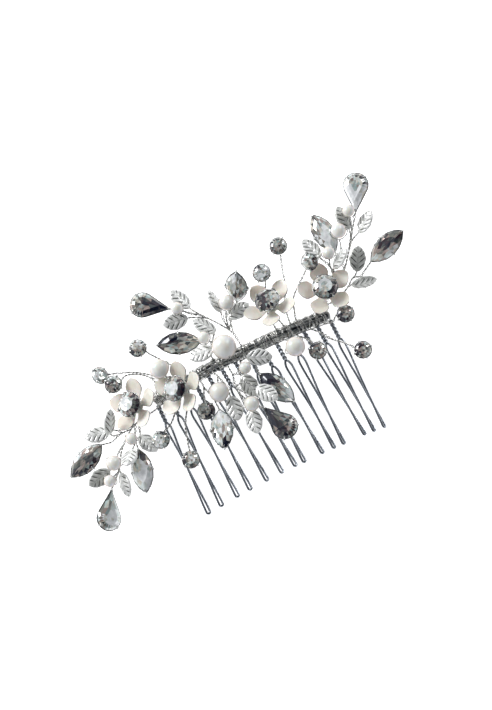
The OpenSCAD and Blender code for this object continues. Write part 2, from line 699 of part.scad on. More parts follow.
spine_core();
binding_wire();
for (i = [0 : tooth_count - 1])
    tooth(i);
for (i = [0 : len(pearls) - 1])
    pearl(i);
for (i = [0 : len(flowers) - 1])
    flower(i);
flower_settings();
flower_crystals();
teardrop_settings();
teardrop_crystals();
navette_settings();
navette_crystals();
round_settings();
round_crystals();
leaves(leaves_top_right);
leaves(leaves_right);
leaves(leaves_upper_left);
leaves(leaves_lower_left);
leaves(leaves_centre);
stems_top_right();
stems_right();
stems_top();
stems_upper_left();
stems_left();
stems_lower_left();
stems_centre();
stems_lower_right();
stems_flowers();
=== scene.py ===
"""Looks of the bridal hair comb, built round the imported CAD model.

Places repeat those of the CAD source, in millimetres, and are turned into metres as a mesh is made.
"""

import math
import random

import bpy
import numpy as np
from mathutils import Matrix, Vector


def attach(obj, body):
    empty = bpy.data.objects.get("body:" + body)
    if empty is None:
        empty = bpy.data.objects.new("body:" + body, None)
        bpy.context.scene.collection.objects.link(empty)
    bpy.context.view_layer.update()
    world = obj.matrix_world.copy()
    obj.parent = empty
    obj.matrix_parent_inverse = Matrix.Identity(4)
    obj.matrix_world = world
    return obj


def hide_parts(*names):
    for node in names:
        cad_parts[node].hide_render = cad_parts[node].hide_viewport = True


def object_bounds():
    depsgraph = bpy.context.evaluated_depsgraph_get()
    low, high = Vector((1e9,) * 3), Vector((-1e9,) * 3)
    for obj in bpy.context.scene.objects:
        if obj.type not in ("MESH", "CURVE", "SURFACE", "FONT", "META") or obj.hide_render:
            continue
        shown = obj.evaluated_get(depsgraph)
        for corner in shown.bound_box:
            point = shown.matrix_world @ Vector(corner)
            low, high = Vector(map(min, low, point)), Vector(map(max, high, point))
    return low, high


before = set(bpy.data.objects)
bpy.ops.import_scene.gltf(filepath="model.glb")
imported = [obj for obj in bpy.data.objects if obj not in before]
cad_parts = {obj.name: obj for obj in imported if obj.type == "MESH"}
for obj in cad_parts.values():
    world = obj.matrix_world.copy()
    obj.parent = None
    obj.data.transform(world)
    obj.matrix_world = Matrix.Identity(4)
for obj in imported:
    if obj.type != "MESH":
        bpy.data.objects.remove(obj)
cad_box = [list(corner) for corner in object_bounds()]

MM = 0.001
TURN = 2 * math.pi

# ---- Sizes, in millimetres ---------------------------------------------------------------

SPINE_LENGTH = 64.0
SPINE_R = 2.1
ARCH_R = 90.0
HALF_SPAN = ARCH_R * math.sin(SPINE_LENGTH / 2 / ARCH_R)
TOOTH_COUNT = 14
TOOTH_PITCH = SPINE_LENGTH / (TOOTH_COUNT - 1)
TOOTH_LENGTH = 40.0
TOOTH_STEM = 7.0
TOOTH_WIRE_R = 0.4
TIP_WIDTH = 2.0
HALF_TWIST = math.radians(150)
SEAT_GAP = 0.05
BINDING_PITCH = TOOTH_PITCH / 2
STEM_D = 0.65
PEARL_WIRE_R = 0.15
BORE_R = PEARL_WIRE_R + 0.1
ROUND_D = 5.5
CHATON_D = 8.0
NAVETTE = (14.0, 7.0)
TEARDROP = (13.0, 8.0)
FLOWER_R = 9.2
FLOWER_CUP = 3.0
FLOWER_T = 0.6
CHATON_RISE = 4.5
LEAF = (8.4, 5.8, 1.6)
PAVILION = 0.3
GIRDLE = 0.06
CROWN = 0.16

# How far a wire's rounded end reaches and how wide it is, in radii
END_REACH, END_SCALE = 0.5, 0.55
# The range that most values of a noise texture lie in
NOISE_RANGE = (0.3, 0.7)

# ---- Frame of the comb -------------------------------------------------------------------


def vec(*numbers):
    return np.array(numbers, float)


def unit(v):
    return v / np.linalg.norm(v)


def arch(s):
    return vec(ARCH_R * math.sin(s / ARCH_R), 0, ARCH_R * (math.cos(s / ARCH_R) - 1))


def arch_up(s):
    return vec(math.sin(s / ARCH_R), 0, math.cos(s / ARCH_R))


def at(place):
    """A place [x, y, height above the arch] in the frame of the comb."""
    x, y, z = place
    return vec(x, y, math.sqrt(ARCH_R**2 - min(abs(x), HALF_SPAN) ** 2) - ARCH_R + z)


def around(s, degrees):
    """Direction away from the spine: 0 faces +Y and 90 faces up."""
    a = math.radians(degrees)
    return vec(0, math.cos(a), 0) + math.sin(a) * arch_up(s)


def spine_seat(s, degrees, rise):
    """Where a stem meets the spine, in the middle of the gap between two turns of the binding."""
    phase = BINDING_PITCH * degrees / 360
    free = phase + BINDING_PITCH * (math.floor((s - phase) / BINDING_PITCH) + 0.5)
    return arch(free) + (SPINE_R + SEAT_GAP + rise) * around(free, degrees)


def rotation(axis, degrees):
    a = math.radians(degrees)
    c, s = math.cos(a), math.sin(a)
    return {
        "x": np.array([[1, 0, 0], [0, c, -s], [0, s, c]]),
        "y": np.array([[c, 0, s], [0, 1, 0], [-s, 0, c]]),
        "z": np.array([[c, -s, 0], [s, c, 0], [0, 0, 1]]),
    }[axis]


def placed(ornament):
    """Turn and place of a long ornament [place, heading, pitch, roll]."""
    place, heading, pitch, roll = ornament
    turn = rotation("z", heading) @ rotation("y", -pitch) @ rotation("x", roll)
    return turn, at(place)


def tail(ornament, reach):
    turn, place = placed(ornament)
    return place - turn @ vec(reach, 0, 0)


def flower_frame(flower):
    place, heading, lean, petals = flower
    turn = rotation("z", heading) @ rotation("y", lean) @ rotation("z", petals - heading)
    return turn, at(place)


# ---- Ornament places ---------------------------------------------------------------------

TEARDROPS = [
    [(58.5, 34, 4.7), 64, 0, 0],
    [(-21.5, 29, 3.2), 145, 0, 0],
    [(-61.5, -29.5, 3), 240, 0, -30],
    [(2.8, -29.6, 4), -69, 0, 0],
]
NAVETTES = [
    [(-16.2, 11.8, 2.4), 158, 0, -8],
    [(8.8, 19, 6.4), 54, 62, 0],
    [(42.1, 23.8, 5.6), 96, 0, 0],
    [(58.6, 10.8, 4.7), 15, 15, 0],
    [(-60, -9.2, 3.7), 199, -10, 0],
    [(-45, -20.6, 3.7), 255, 0, 10],
    [(-15.8, -21.2, 4.8), 253, 15, 0],
    [(6, -17, 4.6), -65, 0, 0],
]
ROUNDS = [
    [(26.8, 26.2, 6.1), 80, 0, 0],
    [(18, 19.2, 8.4), 90, 10, 0],
    [(33.6, 15.6, 11.8), 30, 35, 0],
    [(-29, 16.4, 5.8), 135, 0, 0],
    [(-44, 14.5, 4), 170, 30, 0],
    [(-41.3, 9.4, 5.6), 175, 0, 0],
    [(-35.2, -14.7, 6.6), 225, 0, 0],
    [(-29.2, -25, 5.9), 250, 0, 0],
    [(-17.8, -13, 3.9), 250, 0, 0],
    [(36.6, -3.8, 5.6), -30, 0, 0],
    [(36.4, -17.5, 6.7), -45, 0, 0],
    [(23.2, -11.6, 6.2), -80, 0, 0],
]
LEAVES = {
    "leaves_top_right": [
        [(50, 25.8, 5.2), 92, 10, 35],
        [(55.8, 21.2, 5.6), 30, 20, -30],
        [(36, 20, 9.2), 106, 0, 25],
        [(43, 12.6, 9.6), 20, 35, -40],
    ],
    "leaves_right": [
        [(48.2, 11.2, 5.4), 60, 15, 20],
        [(46.8, 3.6, 3.4), -12, 0, 68],
    ],
    "leaves_upper_left": [
        [(-9.6, 24.6, 2.8), 112, 10, 25],
        [(-14.2, 18.5, 3.7), 172, 4, -18],
        [(0.2, 18.4, 4.4), 96, 20, 60],
        [(5.9, 12.3, 2.9), 6, 4, -14],
        [(-6.4, 12.6, 3.4), 128, 10, 30],
        [(-11.2, 4.6, 4.2), 176, 0, 15],
    ],
    "leaves_lower_left": [
        [(-53.2, -3.2, 4.6), 172, 10, 10],
        [(-47.6, -1.8, 7.4), 60, 20, 60],
        [(-58.6, -16.6, 5), -165, 10, -25],
        [(-52, -22, 3.2), -95, 0, 50],
        [(-39.4, -13, 3.2), -70, 10, -20],
        [(-46.8, -15.6, 7.6), -124, 40, 20],
    ],
    "leaves_centre": [
        [(-9.2, -16.6, 3.2), -97, 0, 0],
        [(5.4, -5.4, 5), -25, 0, 25],
        [(-1.6, -11.6, 1.9), -80, 0, 12],
        [(2.4, -18, 7.6), -58, 10, 0],
        [(-5.4, -23.2, 2.3), -100, 0, 10],
    ],
}
FLOWERS = [
    [(-37.4, -0.2, 2.6), 156, 28, -5],
    [(-21.7, -3, 4), 165, 28, -4],
    [(16.1, 8.3, 4.2), 100, 22, 36],
    [(33.9, 6.2, 4.8), 20, 8, 12],
]
PEARLS = [
    [8, (-3.5, 2.3, 7.4), (-3.2, 1.6, 2.4)],
    [6.4, (-25.6, 6.2, 7.8), (-24.4, 3, 3)],
    [6.4, (17.2, -7.3, 5.8), (16, -3.4, 2.4)],
    [6.4, (-11.4, -9.8, 5.2), (-9.6, -4, 3)],
    [5, (3.5, 15.6, 6.6), (1.2, 11.6, 3.8)],
    [5, (46.6, 21.6, 8.8), (44.2, 14.5, 6.6)],
    [5, (-52.2, -14.8, 7.4), (-48.6, -11.4, 4.6)],
    [5, (-3.6, -18.4, 5.8), (-4.2, -13.4, 4.8)],
    [4, (-11.8, 21.4, 6.8), (-8.6, 18.4, 3.4)],
    [4, (-8.2, 8.6, 6), (-6, 5.6, 3.6)],
    [4, (52.4, 26.4, 8), (50.6, 20.4, 5.8)],
    [4, (40.4, 16, 10.2), (39, 12.4, 6.6)],
    [4, (-55.8, -19.6, 7.2), (-51.8, -17.2, 4.6)],
    [4, (-43.6, -10.2, 7.6), (-41.8, -8.4, 4.4)],
    [4, (-0.4, -6.7, 6), (-1, -3.8, 3.2)],
]

# ---- Meshes ------------------------------------------------------------------------------


class Shape:
    """Points in millimetres with their edge value, and faces with their tone, of one piece. The edge value
    marks bare metal on petals, and the painted shade in the grooves of leaves.
    """

    def __init__(self):
        self.points, self.edges, self.faces, self.tones = [], [], [], []

    def add(self, points, faces, tone=0.5, edge=0.0):
        start = len(self.points)
        self.points += [tuple(p) for p in points]
        self.edges += [edge] * len(points) if np.isscalar(edge) else list(edge)
        self.faces += [tuple(start + i for i in face) for face in faces]
        self.tones += [tone] * len(faces) if np.isscalar(tone) else list(tone)

    def place(self, points, faces, turn, place, tone=0.5, edge=0.0):
        self.add(np.asarray(points) @ turn.T + place, faces, tone, edge)


def piece(name, shape, finish, nodes, body="comb", smooth=True):
    """A piece of the object, which stands for those CAD nodes and rides on a body."""
    mesh = bpy.data.meshes.new(name)
    mesh.from_pydata([[c * MM for c in p] for p in shape.points], [], shape.faces)
    mesh.attributes.new("tone", "FLOAT", "FACE").data.foreach_set("value", shape.tones)
    mesh.attributes.new("edge", "FLOAT", "POINT").data.foreach_set("value", shape.edges)
    mesh.polygons.foreach_set("use_smooth", [smooth] * len(mesh.polygons))
    mesh.materials.append(finish)
    thing = bpy.data.objects.new(name, mesh)
    bpy.context.scene.collection.objects.link(thing)
    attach(thing, body)
    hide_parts(*nodes)


def smooth(points, steps=8):
    """A Catmull-Rom curve through the points."""
    p = [np.asarray(q, float) for q in points]
    last = len(p) - 1
    curve = []
    for i in range(last):
        a, b, c, d = p[max(i - 1, 0)], p[i], p[i + 1], p[min(i + 2, last)]
        for t in np.arange(steps) / steps:
            square, cube = 2 * a - 5 * b + 4 * c - d, 3 * b - a - 3 * c + d
            curve.append(0.5 * (2 * b + (c - a) * t + square * t**2 + cube * t**3))
    return np.array(curve + [p[last]])


def distances(path):
    return np.concatenate([[0], np.cumsum(np.linalg.norm(np.diff(path, axis=0), axis=1))])


def evenly(path, step):
    """The path in steps of about that length."""
    gone = distances(path)
    count = max(2, int(gone[-1] / step) + 1)
    stops = np.linspace(0, gone[-1], count)
    return np.stack([np.interp(stops, gone, path[:, k]) for k in range(3)], axis=1)


def directions(path):
    """Heading at each point of a path, and two directions across it that turn as little as they can."""
    headings = np.gradient(path, axis=0)
    headings /= np.linalg.norm(headings, axis=1)[:, None]
    across = vec(1, 0.1, 0) if abs(headings[0][2]) > 0.8 else vec(0.1, 0, 1)
    sides = []
    for heading in headings:
        across = unit(across - heading * (across @ heading))
        sides.append(across)
    return headings, np.array(sides), np.cross(headings, sides)


def wire(shape, path, radius, sides, tone=0.5):
    """A round wire along a path, with rounded ends. The radius may change along it."""
    path = np.asarray(path)
    radii = np.broadcast_to(radius, len(path)).astype(float)
    headings, side, up = directions(path)
    first = path[0] - headings[0] * radii[0] * END_REACH
    last = path[-1] + headings[-1] * radii[-1] * END_REACH
    path = np.concatenate([[first], path, [last]])
    side = np.concatenate([side[:1], side, side[-1:]])
    up = np.concatenate([up[:1], up, up[-1:]])
    radii = np.concatenate([[radii[0] * END_SCALE], radii, [radii[-1] * END_SCALE]])
    spin = TURN * np.arange(sides) / sides
    ring = np.cos(spin)[None, :, None] * side[:, None, :] + np.sin(spin)[None, :, None] * up[:, None, :]
    shape.add(*loft(path[:, None, :] + radii[:, None, None] * ring), tone)


def strands(path, offset, pitch, phase, count=2):
    """Paths that wind round a path at that distance from it."""
    gone = distances(path)
    _, side, up = directions(path)
    wound = []
    for k in range(count):
        angle = phase + TURN * (gone / pitch + k / count)
        away = np.cos(angle)[:, None] * side + np.sin(angle)[:, None] * up
        wound.append(path + away * np.broadcast_to(offset, len(path))[:, None])
    return wound


def loft(rings, bored=False):
    """Points and faces of a wall through rings of as many points each.

    Its two ends are closed, or when it's bored, its last ring joins its first.
    """
    sides = len(rings[0])
    last = (len(rings) - 1) * sides
    faces = []
    for i in range(len(rings) - 1):
        for k in range(sides):
            a, b = i * sides + k, i * sides + (k + 1) % sides
            faces.append((a, b, b + sides, a + sides))
    if bored:
        faces += [(last + k, last + (k + 1) % sides, (k + 1) % sides, k) for k in range(sides)]
    else:
        faces.append(tuple(range(sides))[::-1])
        faces.append(tuple(last + k for k in range(sides)))
    return np.concatenate(rings), faces


# ---- Finishes ----------------------------------------------------------------------------


class Finish:
    """A node material round one Principled shader."""

    def __init__(self, name, **uniform):
        self.material = bpy.data.materials.new(name)
        self.material.use_nodes = True
        self.tree = self.material.node_tree
        self.shader = self.tree.nodes["Principled BSDF"]
        for key, value in uniform.items():
            self.shader.inputs[key.replace("_", " ")].default_value = value

    def node(self, kind, **settings):
        node = self.tree.nodes.new("ShaderNode" + kind)
        for key, value in settings.items():
            if key in node.inputs.keys():
                node.inputs[key].default_value = value
            else:
                setattr(node, key, value)
        return node

    def link(self, output, target):
        self.tree.links.new(output, target)

    def noise(self, features, detail=3.0, roughness=0.55):
        """Noise with that many features in a millimetre, or that many along each axis."""
        place = self.node("TexCoord")
        mapping = self.node("Mapping")
        mapping.inputs["Scale"].default_value = [float(n) / MM for n in np.broadcast_to(features, 3)]
        self.link(place.outputs["Object"], mapping.inputs["Vector"])
        noise = self.node("TexNoise", Scale=1.0, Detail=detail, Roughness=roughness)
        self.link(mapping.outputs["Vector"], noise.inputs["Vector"])
        return noise.outputs["Fac"]

    def attribute(self, name):
        return self.node("Attribute", attribute_name=name).outputs["Fac"]

    def ramp(self, value, stops):
        ramp = self.node("ValToRGB")
        elements = ramp.color_ramp.elements
        while len(elements) < len(stops):
            elements.new(0.5)
        for element, (position, colour) in zip(elements, stops):
            element.position = position
            element.color = (*colour, 1)
        self.link(value, ramp.inputs["Fac"])
        return ramp.outputs["Color"]

    def spread(self, value, low, high, bottom=0.0, top=1.0):
        """The value moved from the range between bottom and top to the range between low and high."""
        remap = self.node("MapRange")
        for key, number in zip(("From Min", "From Max", "To Min", "To Max"), (bottom, top, low, high)):
            remap.inputs[key].default_value = number
        self.link(value, remap.inputs["Value"])
        return remap.outputs["Result"]

    def mix(self, factor, first, second, blend="MIX"):
        mix = self.node("MixRGB", blend_type=blend)
        if isinstance(factor, float):
            mix.inputs["Fac"].default_value = factor
        else:
            self.link(factor, mix.inputs["Fac"])
        for key, value in (("Color1", first), ("Color2", second)):
            if isinstance(value, tuple):
                mix.inputs[key].default_value = (*value, 1)
            else:
                self.link(value, mix.inputs[key])
        return mix.outputs["Color"]

    def colour(self, output):
        self.link(output, self.shader.inputs["Base Color"])

    def roughness(self, noise, low, high):
        self.link(self.spread(noise, low, high, *NOISE_RANGE), self.shader.inputs["Roughness"])

    def bump(self, height, depth, strength):
        bump = self.node("Bump", Strength=strength, Distance=depth * MM)
        self.link(height, bump.inputs["Height"])
        self.link(bump.outputs["Normal"], self.shader.inputs["Normal"])


def steel():
    f = Finish("tooth_steel", Metallic=1.0)
    streaks = f.noise((5, 0.25, 5), 4)
    f.colour(f.ramp(streaks, [(0.3, (0.12, 0.135, 0.16)), (0.7, (0.48, 0.51, 0.55))]))
    f.roughness(streaks, 0.1, 0.2)
    f.bump(f.noise((9, 0.8, 9)), 0.02, 0.5)
    return f.material


def gunmetal():
    f = Finish("spine_gunmetal", Metallic=0.7)
    strand = f.attribute("tone")
    streaks = f.noise((0.35, 4, 4), 4)
    tint = f.ramp(strand, [(0.0, (0.10, 0.11, 0.125)), (0.45, (0.40, 0.41, 0.41)), (1.0, (0.86, 0.86, 0.84))])
    f.colour(f.mix(0.6, tint, f.ramp(streaks, [(0.3, (0.45, 0.46, 0.5)), (0.7, (1, 1, 0.98))]), "MULTIPLY"))
    f.roughness(streaks, 0.2, 0.4)
    f.bump(f.noise((2, 8, 8)), 0.03, 0.5)
    return f.material


def silver(name, dark, light):
    f = Finish(name, Metallic=1.0)
    wear = f.noise(1.3, 4)
    tint = f.ramp(wear, [(0.35, dark), (0.62, light)])
    f.colour(f.mix(f.spread(f.attribute("tone"), 0.0, 0.55), tint, tuple(c * 0.45 for c in dark)))
    f.roughness(wear, 0.32, 0.12)
    f.bump(f.noise(7), 0.015, 0.4)
    return f.material


def nacre():
    f = Finish(
        "pearl_nacre",
        Subsurface_Weight=0.25,
        Subsurface_Scale=0.0012,
        Coat_Weight=0.7,
        Coat_Roughness=0.12,
        Coat_IOR=1.55,
        Thin_Film_Thickness=380.0,
        Thin_Film_IOR=1.35,
        Specular_IOR_Level=0.6,
    )
    f.shader.inputs["Subsurface Radius"].default_value = (1.0, 0.85, 0.6)
    clouds = f.noise(0.35, 3)
    body = f.ramp(clouds, [(0.35, (0.90, 0.87, 0.79)), (0.65, (0.975, 0.96, 0.91))])
    # Painted shade: the pearl is painted darker, a greenish taupe, towards its outline as seen, standing in
    # for its shaded edge.
    rim = f.node("LayerWeight", Blend=0.35).outputs["Facing"]
    f.colour(f.mix(f.spread(rim, 0.0, 0.9, 0.3, 0.95), body, (0.42, 0.40, 0.33)))
    f.roughness(clouds, 0.26, 0.36)
    f.bump(f.noise(5, 2), 0.01, 0.25)
    return f.material


def enamel():
    f = Finish(
        "petal_enamel",
        Coat_Weight=0.45,
        Coat_Roughness=0.1,
        Subsurface_Weight=0.12,
        Subsurface_Scale=0.001,
    )
    clouds = f.noise(0.25, 3)
    cream = f.ramp(clouds, [(0.35, (0.93, 0.875, 0.765)), (0.65, (0.985, 0.955, 0.89))])
    bare = f.spread(f.attribute("edge"), 0.0, 1.0, 0.9, 0.97)
    f.colour(f.mix(bare, cream, (0.24, 0.24, 0.24)))
    f.link(bare, f.shader.inputs["Metallic"])
    f.roughness(clouds, 0.22, 0.34)
    f.bump(f.noise(1.2, 2), 0.04, 0.3)
    return f.material


def painted_reflection_glass():
    f = Finish("crystal_painted_reflections", Metallic=0.2, Coat_Weight=1.0, Coat_Roughness=0.02, Coat_IOR=1.6)
    # Painted reflections: each facet's colour, from dark navy through olive and teal to white, stands in for
    # what the facet reflects.
    stops = [
        (0.0, (0.008, 0.012, 0.03)),
        (0.12, (0.06, 0.03, 0.04)),
        (0.25, (0.045, 0.06, 0.07)),
        (0.38, (0.20, 0.21, 0.18)),
        (0.5, (0.42, 0.31, 0.28)),
        (0.62, (0.40, 0.54, 0.54)),
        (0.75, (0.78, 0.70, 0.59)),
        (0.88, (0.80, 0.90, 0.885)),
        (1.0, (0.97, 0.985, 1.0)),
    ]
    facet = f.ramp(f.attribute("tone"), stops)
    # Noise that mottles the painted reflections and the roughness.
    depth = f.noise(0.7, 2, 0.6)
    f.colour(f.mix(0.3, facet, f.ramp(depth, [(0.38, (0.4, 0.42, 0.44)), (0.6, (1, 1, 1))]), "MULTIPLY"))
    f.roughness(depth, 0.05, 0.12)
    return f.material


def leaf_glass():
    f = Finish("ribbed_leaf_glass", Metallic=0.1, Coat_Weight=1.0, Coat_Roughness=0.05, IOR=1.5)
    # Painted shade: the glass is painted nearly black where the edge attribute marks its grooves.
    groove_shade = f.attribute("edge")
    clouds = f.noise(0.7, 3, 0.65)
    stops = [(0.36, (0.62, 0.63, 0.60)), (0.48, (0.90, 0.91, 0.89)), (0.6, (0.99, 0.99, 0.985))]
    clear = f.ramp(clouds, stops)
    clear = f.mix(f.attribute("tone"), clear, (0.36, 0.37, 0.34), "MULTIPLY")
    f.colour(f.mix(f.spread(groove_shade, 0.0, 0.96, 0.28, 0.66), clear, (0.06, 0.065, 0.06)))
    f.roughness(clouds, 0.06, 0.2)
    f.bump(f.noise(2.2, 2), 0.06, 0.4)
    return f.material


STEEL = steel()
GUNMETAL = gunmetal()
SILVER = silver("stem_silver", (0.24, 0.24, 0.235), (0.80, 0.80, 0.78))
BRIGHT = silver("binding_silver", (0.46, 0.46, 0.44), (0.92, 0.92, 0.90))
SETTING = silver("setting_silver", (0.22, 0.23, 0.23), (0.70, 0.71, 0.70))
NACRE = nacre()
ENAMEL = enamel()
CRYSTAL = painted_reflection_glass()
LEAF_GLASS = leaf_glass()

# ---- Spine and teeth ---------------------------------------------------------------------


# Distances of the wires from the middle of the spine
CORE_R = 1.35
BUNDLE_R = 1.62
KNOT_R = 2.2
WINDING_R = 2.24
LOOSE_R = 2.3
TIE_R = 2.34
COLLAR_R = 2.36
STRAY_R = 2.62
CURL_R = 2.25
BUNDLE_WIRES = 12
LOOSE_TURNS = 7
TIES = 16
CURLS = 13
COLLAR_PITCH = 0.52


def on_spine(stops, radius, angles):
    """A path over the spine: at each distance along it, that far out and at that angle in degrees."""
    radii = np.broadcast_to(radius, len(stops))
    return np.array([arch(s) + r * around(s, a) for s, r, a in zip(stops, radii, angles)])


def spine():
    rng = random.Random(4)
    shape = Shape()
    reach = SPINE_LENGTH / 2
    stops = np.linspace(-reach, reach, 160)
    wire(shape, on_spine(stops, 0, stops), CORE_R, 16, 0.0)
    for k in range(BUNDLE_WIRES):
        ends = reach - rng.uniform(0.1, 1.6)
        stops = np.linspace(-ends, ends, 150)
        sway = rng.uniform(0, TURN)
        angles = 360 * k / BUNDLE_WIRES + 1.6 * stops + 9 * np.sin(stops * 0.35 + sway)
        radii = BUNDLE_R + 0.09 * np.sin(stops * 0.6 + 2 * sway)
        thick, tone = rng.uniform(0.3, 0.4), rng.choice([0.1, 0.35, 0.6, 0.95])
        wire(shape, on_spine(stops, radii, angles), thick, 8, tone)
    piece("spine_bundle", shape, GUNMETAL, ["spine_core"])


def binding():
    """The regular winding of the CAD model, with irregular turns, ties and curls over it."""
    rng = random.Random(9)
    shape = Shape()
    reach = SPINE_LENGTH / 2 - BINDING_PITCH / 2
    stops = np.linspace(-reach, reach, 1300)
    wire(shape, on_spine(stops, WINDING_R, 360 * stops / BINDING_PITCH), 0.16, 6, 0.1)

    for k in range(LOOSE_TURNS):
        middle = rng.uniform(-reach + 5, reach - 5)
        stops = np.linspace(max(-reach, middle - 7), min(reach, middle + 7), 260)
        pitch = rng.choice([-1, 1]) * rng.uniform(3.2, 6.5)
        radii = LOOSE_R + 0.09 * np.sin(stops * 1.7 + k)
        wire(shape, on_spine(stops, radii, 360 * stops / pitch + 50 * k), 0.13, 6, rng.uniform(0, 0.5))

    for i in range(TOOTH_COUNT):
        root = (i - (TOOTH_COUNT - 1) / 2) * TOOTH_PITCH
        turns = rng.choice([2, 3, 4])
        stops = np.linspace(root - 0.2 * turns, root + 0.2 * turns, 28 * turns)
        stops = np.clip(stops, -reach - 1, reach + 1)
        angles = np.linspace(0, 360 * turns, len(stops)) + 40 * i
        wire(shape, on_spine(stops, KNOT_R, angles), 0.17, 6, rng.uniform(0, 1))

    stops = np.linspace(-reach - 0.9, -reach + 4.6, 420)
    radii = COLLAR_R + 0.06 * np.sin(stops * 5)
    wire(shape, on_spine(stops, radii, 360 * stops / COLLAR_PITCH), 0.2, 6, 0.15)
    stops = np.linspace(5, 30.5, 90)
    angles = 166 + 5 * np.sin(stops * 0.3)
    wire(shape, on_spine(stops, STRAY_R + 0.12 * np.sin(stops * 0.5), angles), 0.2, 8, 0.0)

    for k in range(TIES):
        middle = -reach + 2 + (2 * reach - 4) * k / (TIES - 1)
        stops = np.linspace(middle - 1.1, middle + 1.1, 30)
        slant = rng.choice([-1, 1]) * rng.uniform(60, 110)
        angles = 78 + slant * (stops - middle) + 11 * math.sin(2 * k)
        wire(shape, on_spine(stops, TIE_R, angles), 0.17, 6, 0.0)

    curls = [(3.5, 1.7), (-15.8, 1.4), (-1.0, 1.2), (9.0, 1.0), (-20.5, 1.2)]
    curls += [(-reach + 2 + 2.6 * k, rng.uniform(0.8, 1.6)) for k in range(CURLS)]
    for middle, wide in curls:
        away = around(middle, 62 + 6 * middle % 40)
        loose = []
        for t in np.linspace(-0.15, 1.15, 34) * math.pi:
            rise = CURL_R + wide * 0.75 * max(0, math.sin(t))
            loose.append(arch(middle + wide * math.cos(t)) + rise * away)
        wire(shape, np.array(loose), 0.15, 8, 0.2)
    piece("binding_turns", shape, BRIGHT, ["binding_wire"])


LEANS = [1.5, 1, -1, -1, -3, -4, -4, -1.5, -4, -3, -1, -5, -3, -1.5]
DIP = math.degrees(math.asin((SPINE_R - TOOTH_WIRE_R) / TOOTH_LENGTH))
LEG_LENGTH = TOOTH_LENGTH - TOOTH_STEM
SHUT = TOOTH_WIRE_R + 0.06
TIP = TIP_WIDTH / 2 - TOOTH_WIRE_R
# Half the width between the legs of a tooth, and how far below its stem
LEG_WIDTHS = [
    (0, 0.5),
    (0.5, 0.72),
    (1.8, 0.98),
    (0.12 * LEG_LENGTH, 0.95),
    (0.3 * LEG_LENGTH, 0.7),
    (0.5 * LEG_LENGTH, SHUT),
    (0.66 * LEG_LENGTH, SHUT),
    (0.88 * LEG_LENGTH, TIP),
    (LEG_LENGTH - 1.1, TIP),
    (LEG_LENGTH - 0.62, TIP * 0.72),
    (LEG_LENGTH - TOOTH_WIRE_R, 0),
]
STEM_PITCH = 2.8
STEM_COIL_R = 0.42


def tooth(i):
    """One wire: down a leg, round the tip and up the other leg, with its ends twisted together."""
    s = (i - (TOOTH_COUNT - 1) / 2) * TOOTH_PITCH
    half = smooth([(width, down, 0) for down, width in LEG_WIDTHS], 6)
    spin = HALF_TWIST * half[:, 1] / LEG_LENGTH
    leg = np.stack([half[:, 0] * np.cos(spin), -TOOTH_STEM - half[:, 1], half[:, 0] * np.sin(spin)], axis=1)
    down = np.linspace(0, TOOTH_STEM - 0.15, 46)
    wound = -TURN * (TOOTH_STEM - down) / STEM_PITCH
    coil = np.stack([STEM_COIL_R * np.cos(wound), -down, STEM_COIL_R * np.sin(wound)], axis=1)
    side = np.concatenate([coil, leg])
    mirrored = side[:-1][::-1] * vec(-1, 1, -1)
    path = evenly(smooth(np.concatenate([side, mirrored]), 2), 0.22)
    base = vec(0, -SPINE_R - SEAT_GAP, 0)
    tilt = rotation("x", DIP) @ rotation("z", -LEANS[i])
    hairpin = (path @ tilt.T + base) @ rotation("y", math.degrees(s / ARCH_R)).T + arch(s)
    shape = Shape()
    wire(shape, hairpin, TOOTH_WIRE_R, 12)
    name = f"tooth_{i + 1:02d}"
    piece("hairpin_" + name, shape, STEEL, [name])


# ---- Pearls ------------------------------------------------------------------------------

PEARL_SIDES, PEARL_BANDS = 56, 40
# The rounded edge of a bore, and how deep it starts
BORE_EDGE, BORE_SINK = 0.06, 0.1


def to_stem(p):
    return unit(at(p[2]) - at(p[1]))


def bore_axis(p):
    down = to_stem(p)
    return unit(np.cross(down, vec(1, 0, 0) if abs(down[2]) > 0.9 else vec(0, 0, 1)))


def loop_reach(p):
    return p[0] / 2 / math.cos(math.radians(15)) + PEARL_WIRE_R + 0.15


def pearl(i):
    p = PEARLS[i]
    axis = bore_axis(p)
    side = unit(np.cross(axis, to_stem(p)))
    up = np.cross(axis, side)
    radius = p[0] / 2
    first = math.asin((BORE_R + BORE_EDGE) / radius)
    mouth = radius * math.cos(first) - BORE_SINK
    bands = np.linspace(first, math.pi - first, PEARL_BANDS)
    profile = [(BORE_R, 0.0), (BORE_R, mouth)]
    profile += [(radius * math.sin(b), radius * math.cos(b)) for b in bands]
    profile += [(BORE_R, -mouth)]
    spin = TURN * np.arange(PEARL_SIDES) / PEARL_SIDES
    outward = np.cos(spin)[:, None] * side, np.sin(spin)[:, None] * up
    rings = [outward[0] * r + outward[1] * r + axis * h for r, h in profile[::-1]]
    points, faces = loft(rings, bored=True)
    shape = Shape()
    shape.add(points + at(p[1]), faces)
    name = f"pearl_{i + 1:02d}"
    piece("drilled_" + name, shape, NACRE, [name], name)


def pearl_loop(shape, p):
    """The wire that threads a pearl and comes down both of its sides."""
    down, side, reach = to_stem(p), bore_axis(p), loop_reach(p)
    apart = PEARL_WIRE_R + 0.03
    start = math.degrees(math.asin(apart / reach))
    middle = at(p[1])
    path = [middle + down * (reach + 0.6) + side * apart]
    for a in np.radians([start, 22, 45, 66, 83]):
        path.append(middle + reach * (down * math.cos(a) + side * math.sin(a)))
    path += [middle + side * (p[0] / 2 - 0.25), middle + side * (p[0] / 4)]
    mirrored = [middle + (q - middle) - 2 * side * ((q - middle) @ side) for q in path[::-1]]
    wire(shape, smooth(path + [middle] + mirrored, 5), PEARL_WIRE_R, 8, 0.35)


# ---- Stems -------------------------------------------------------------------------------

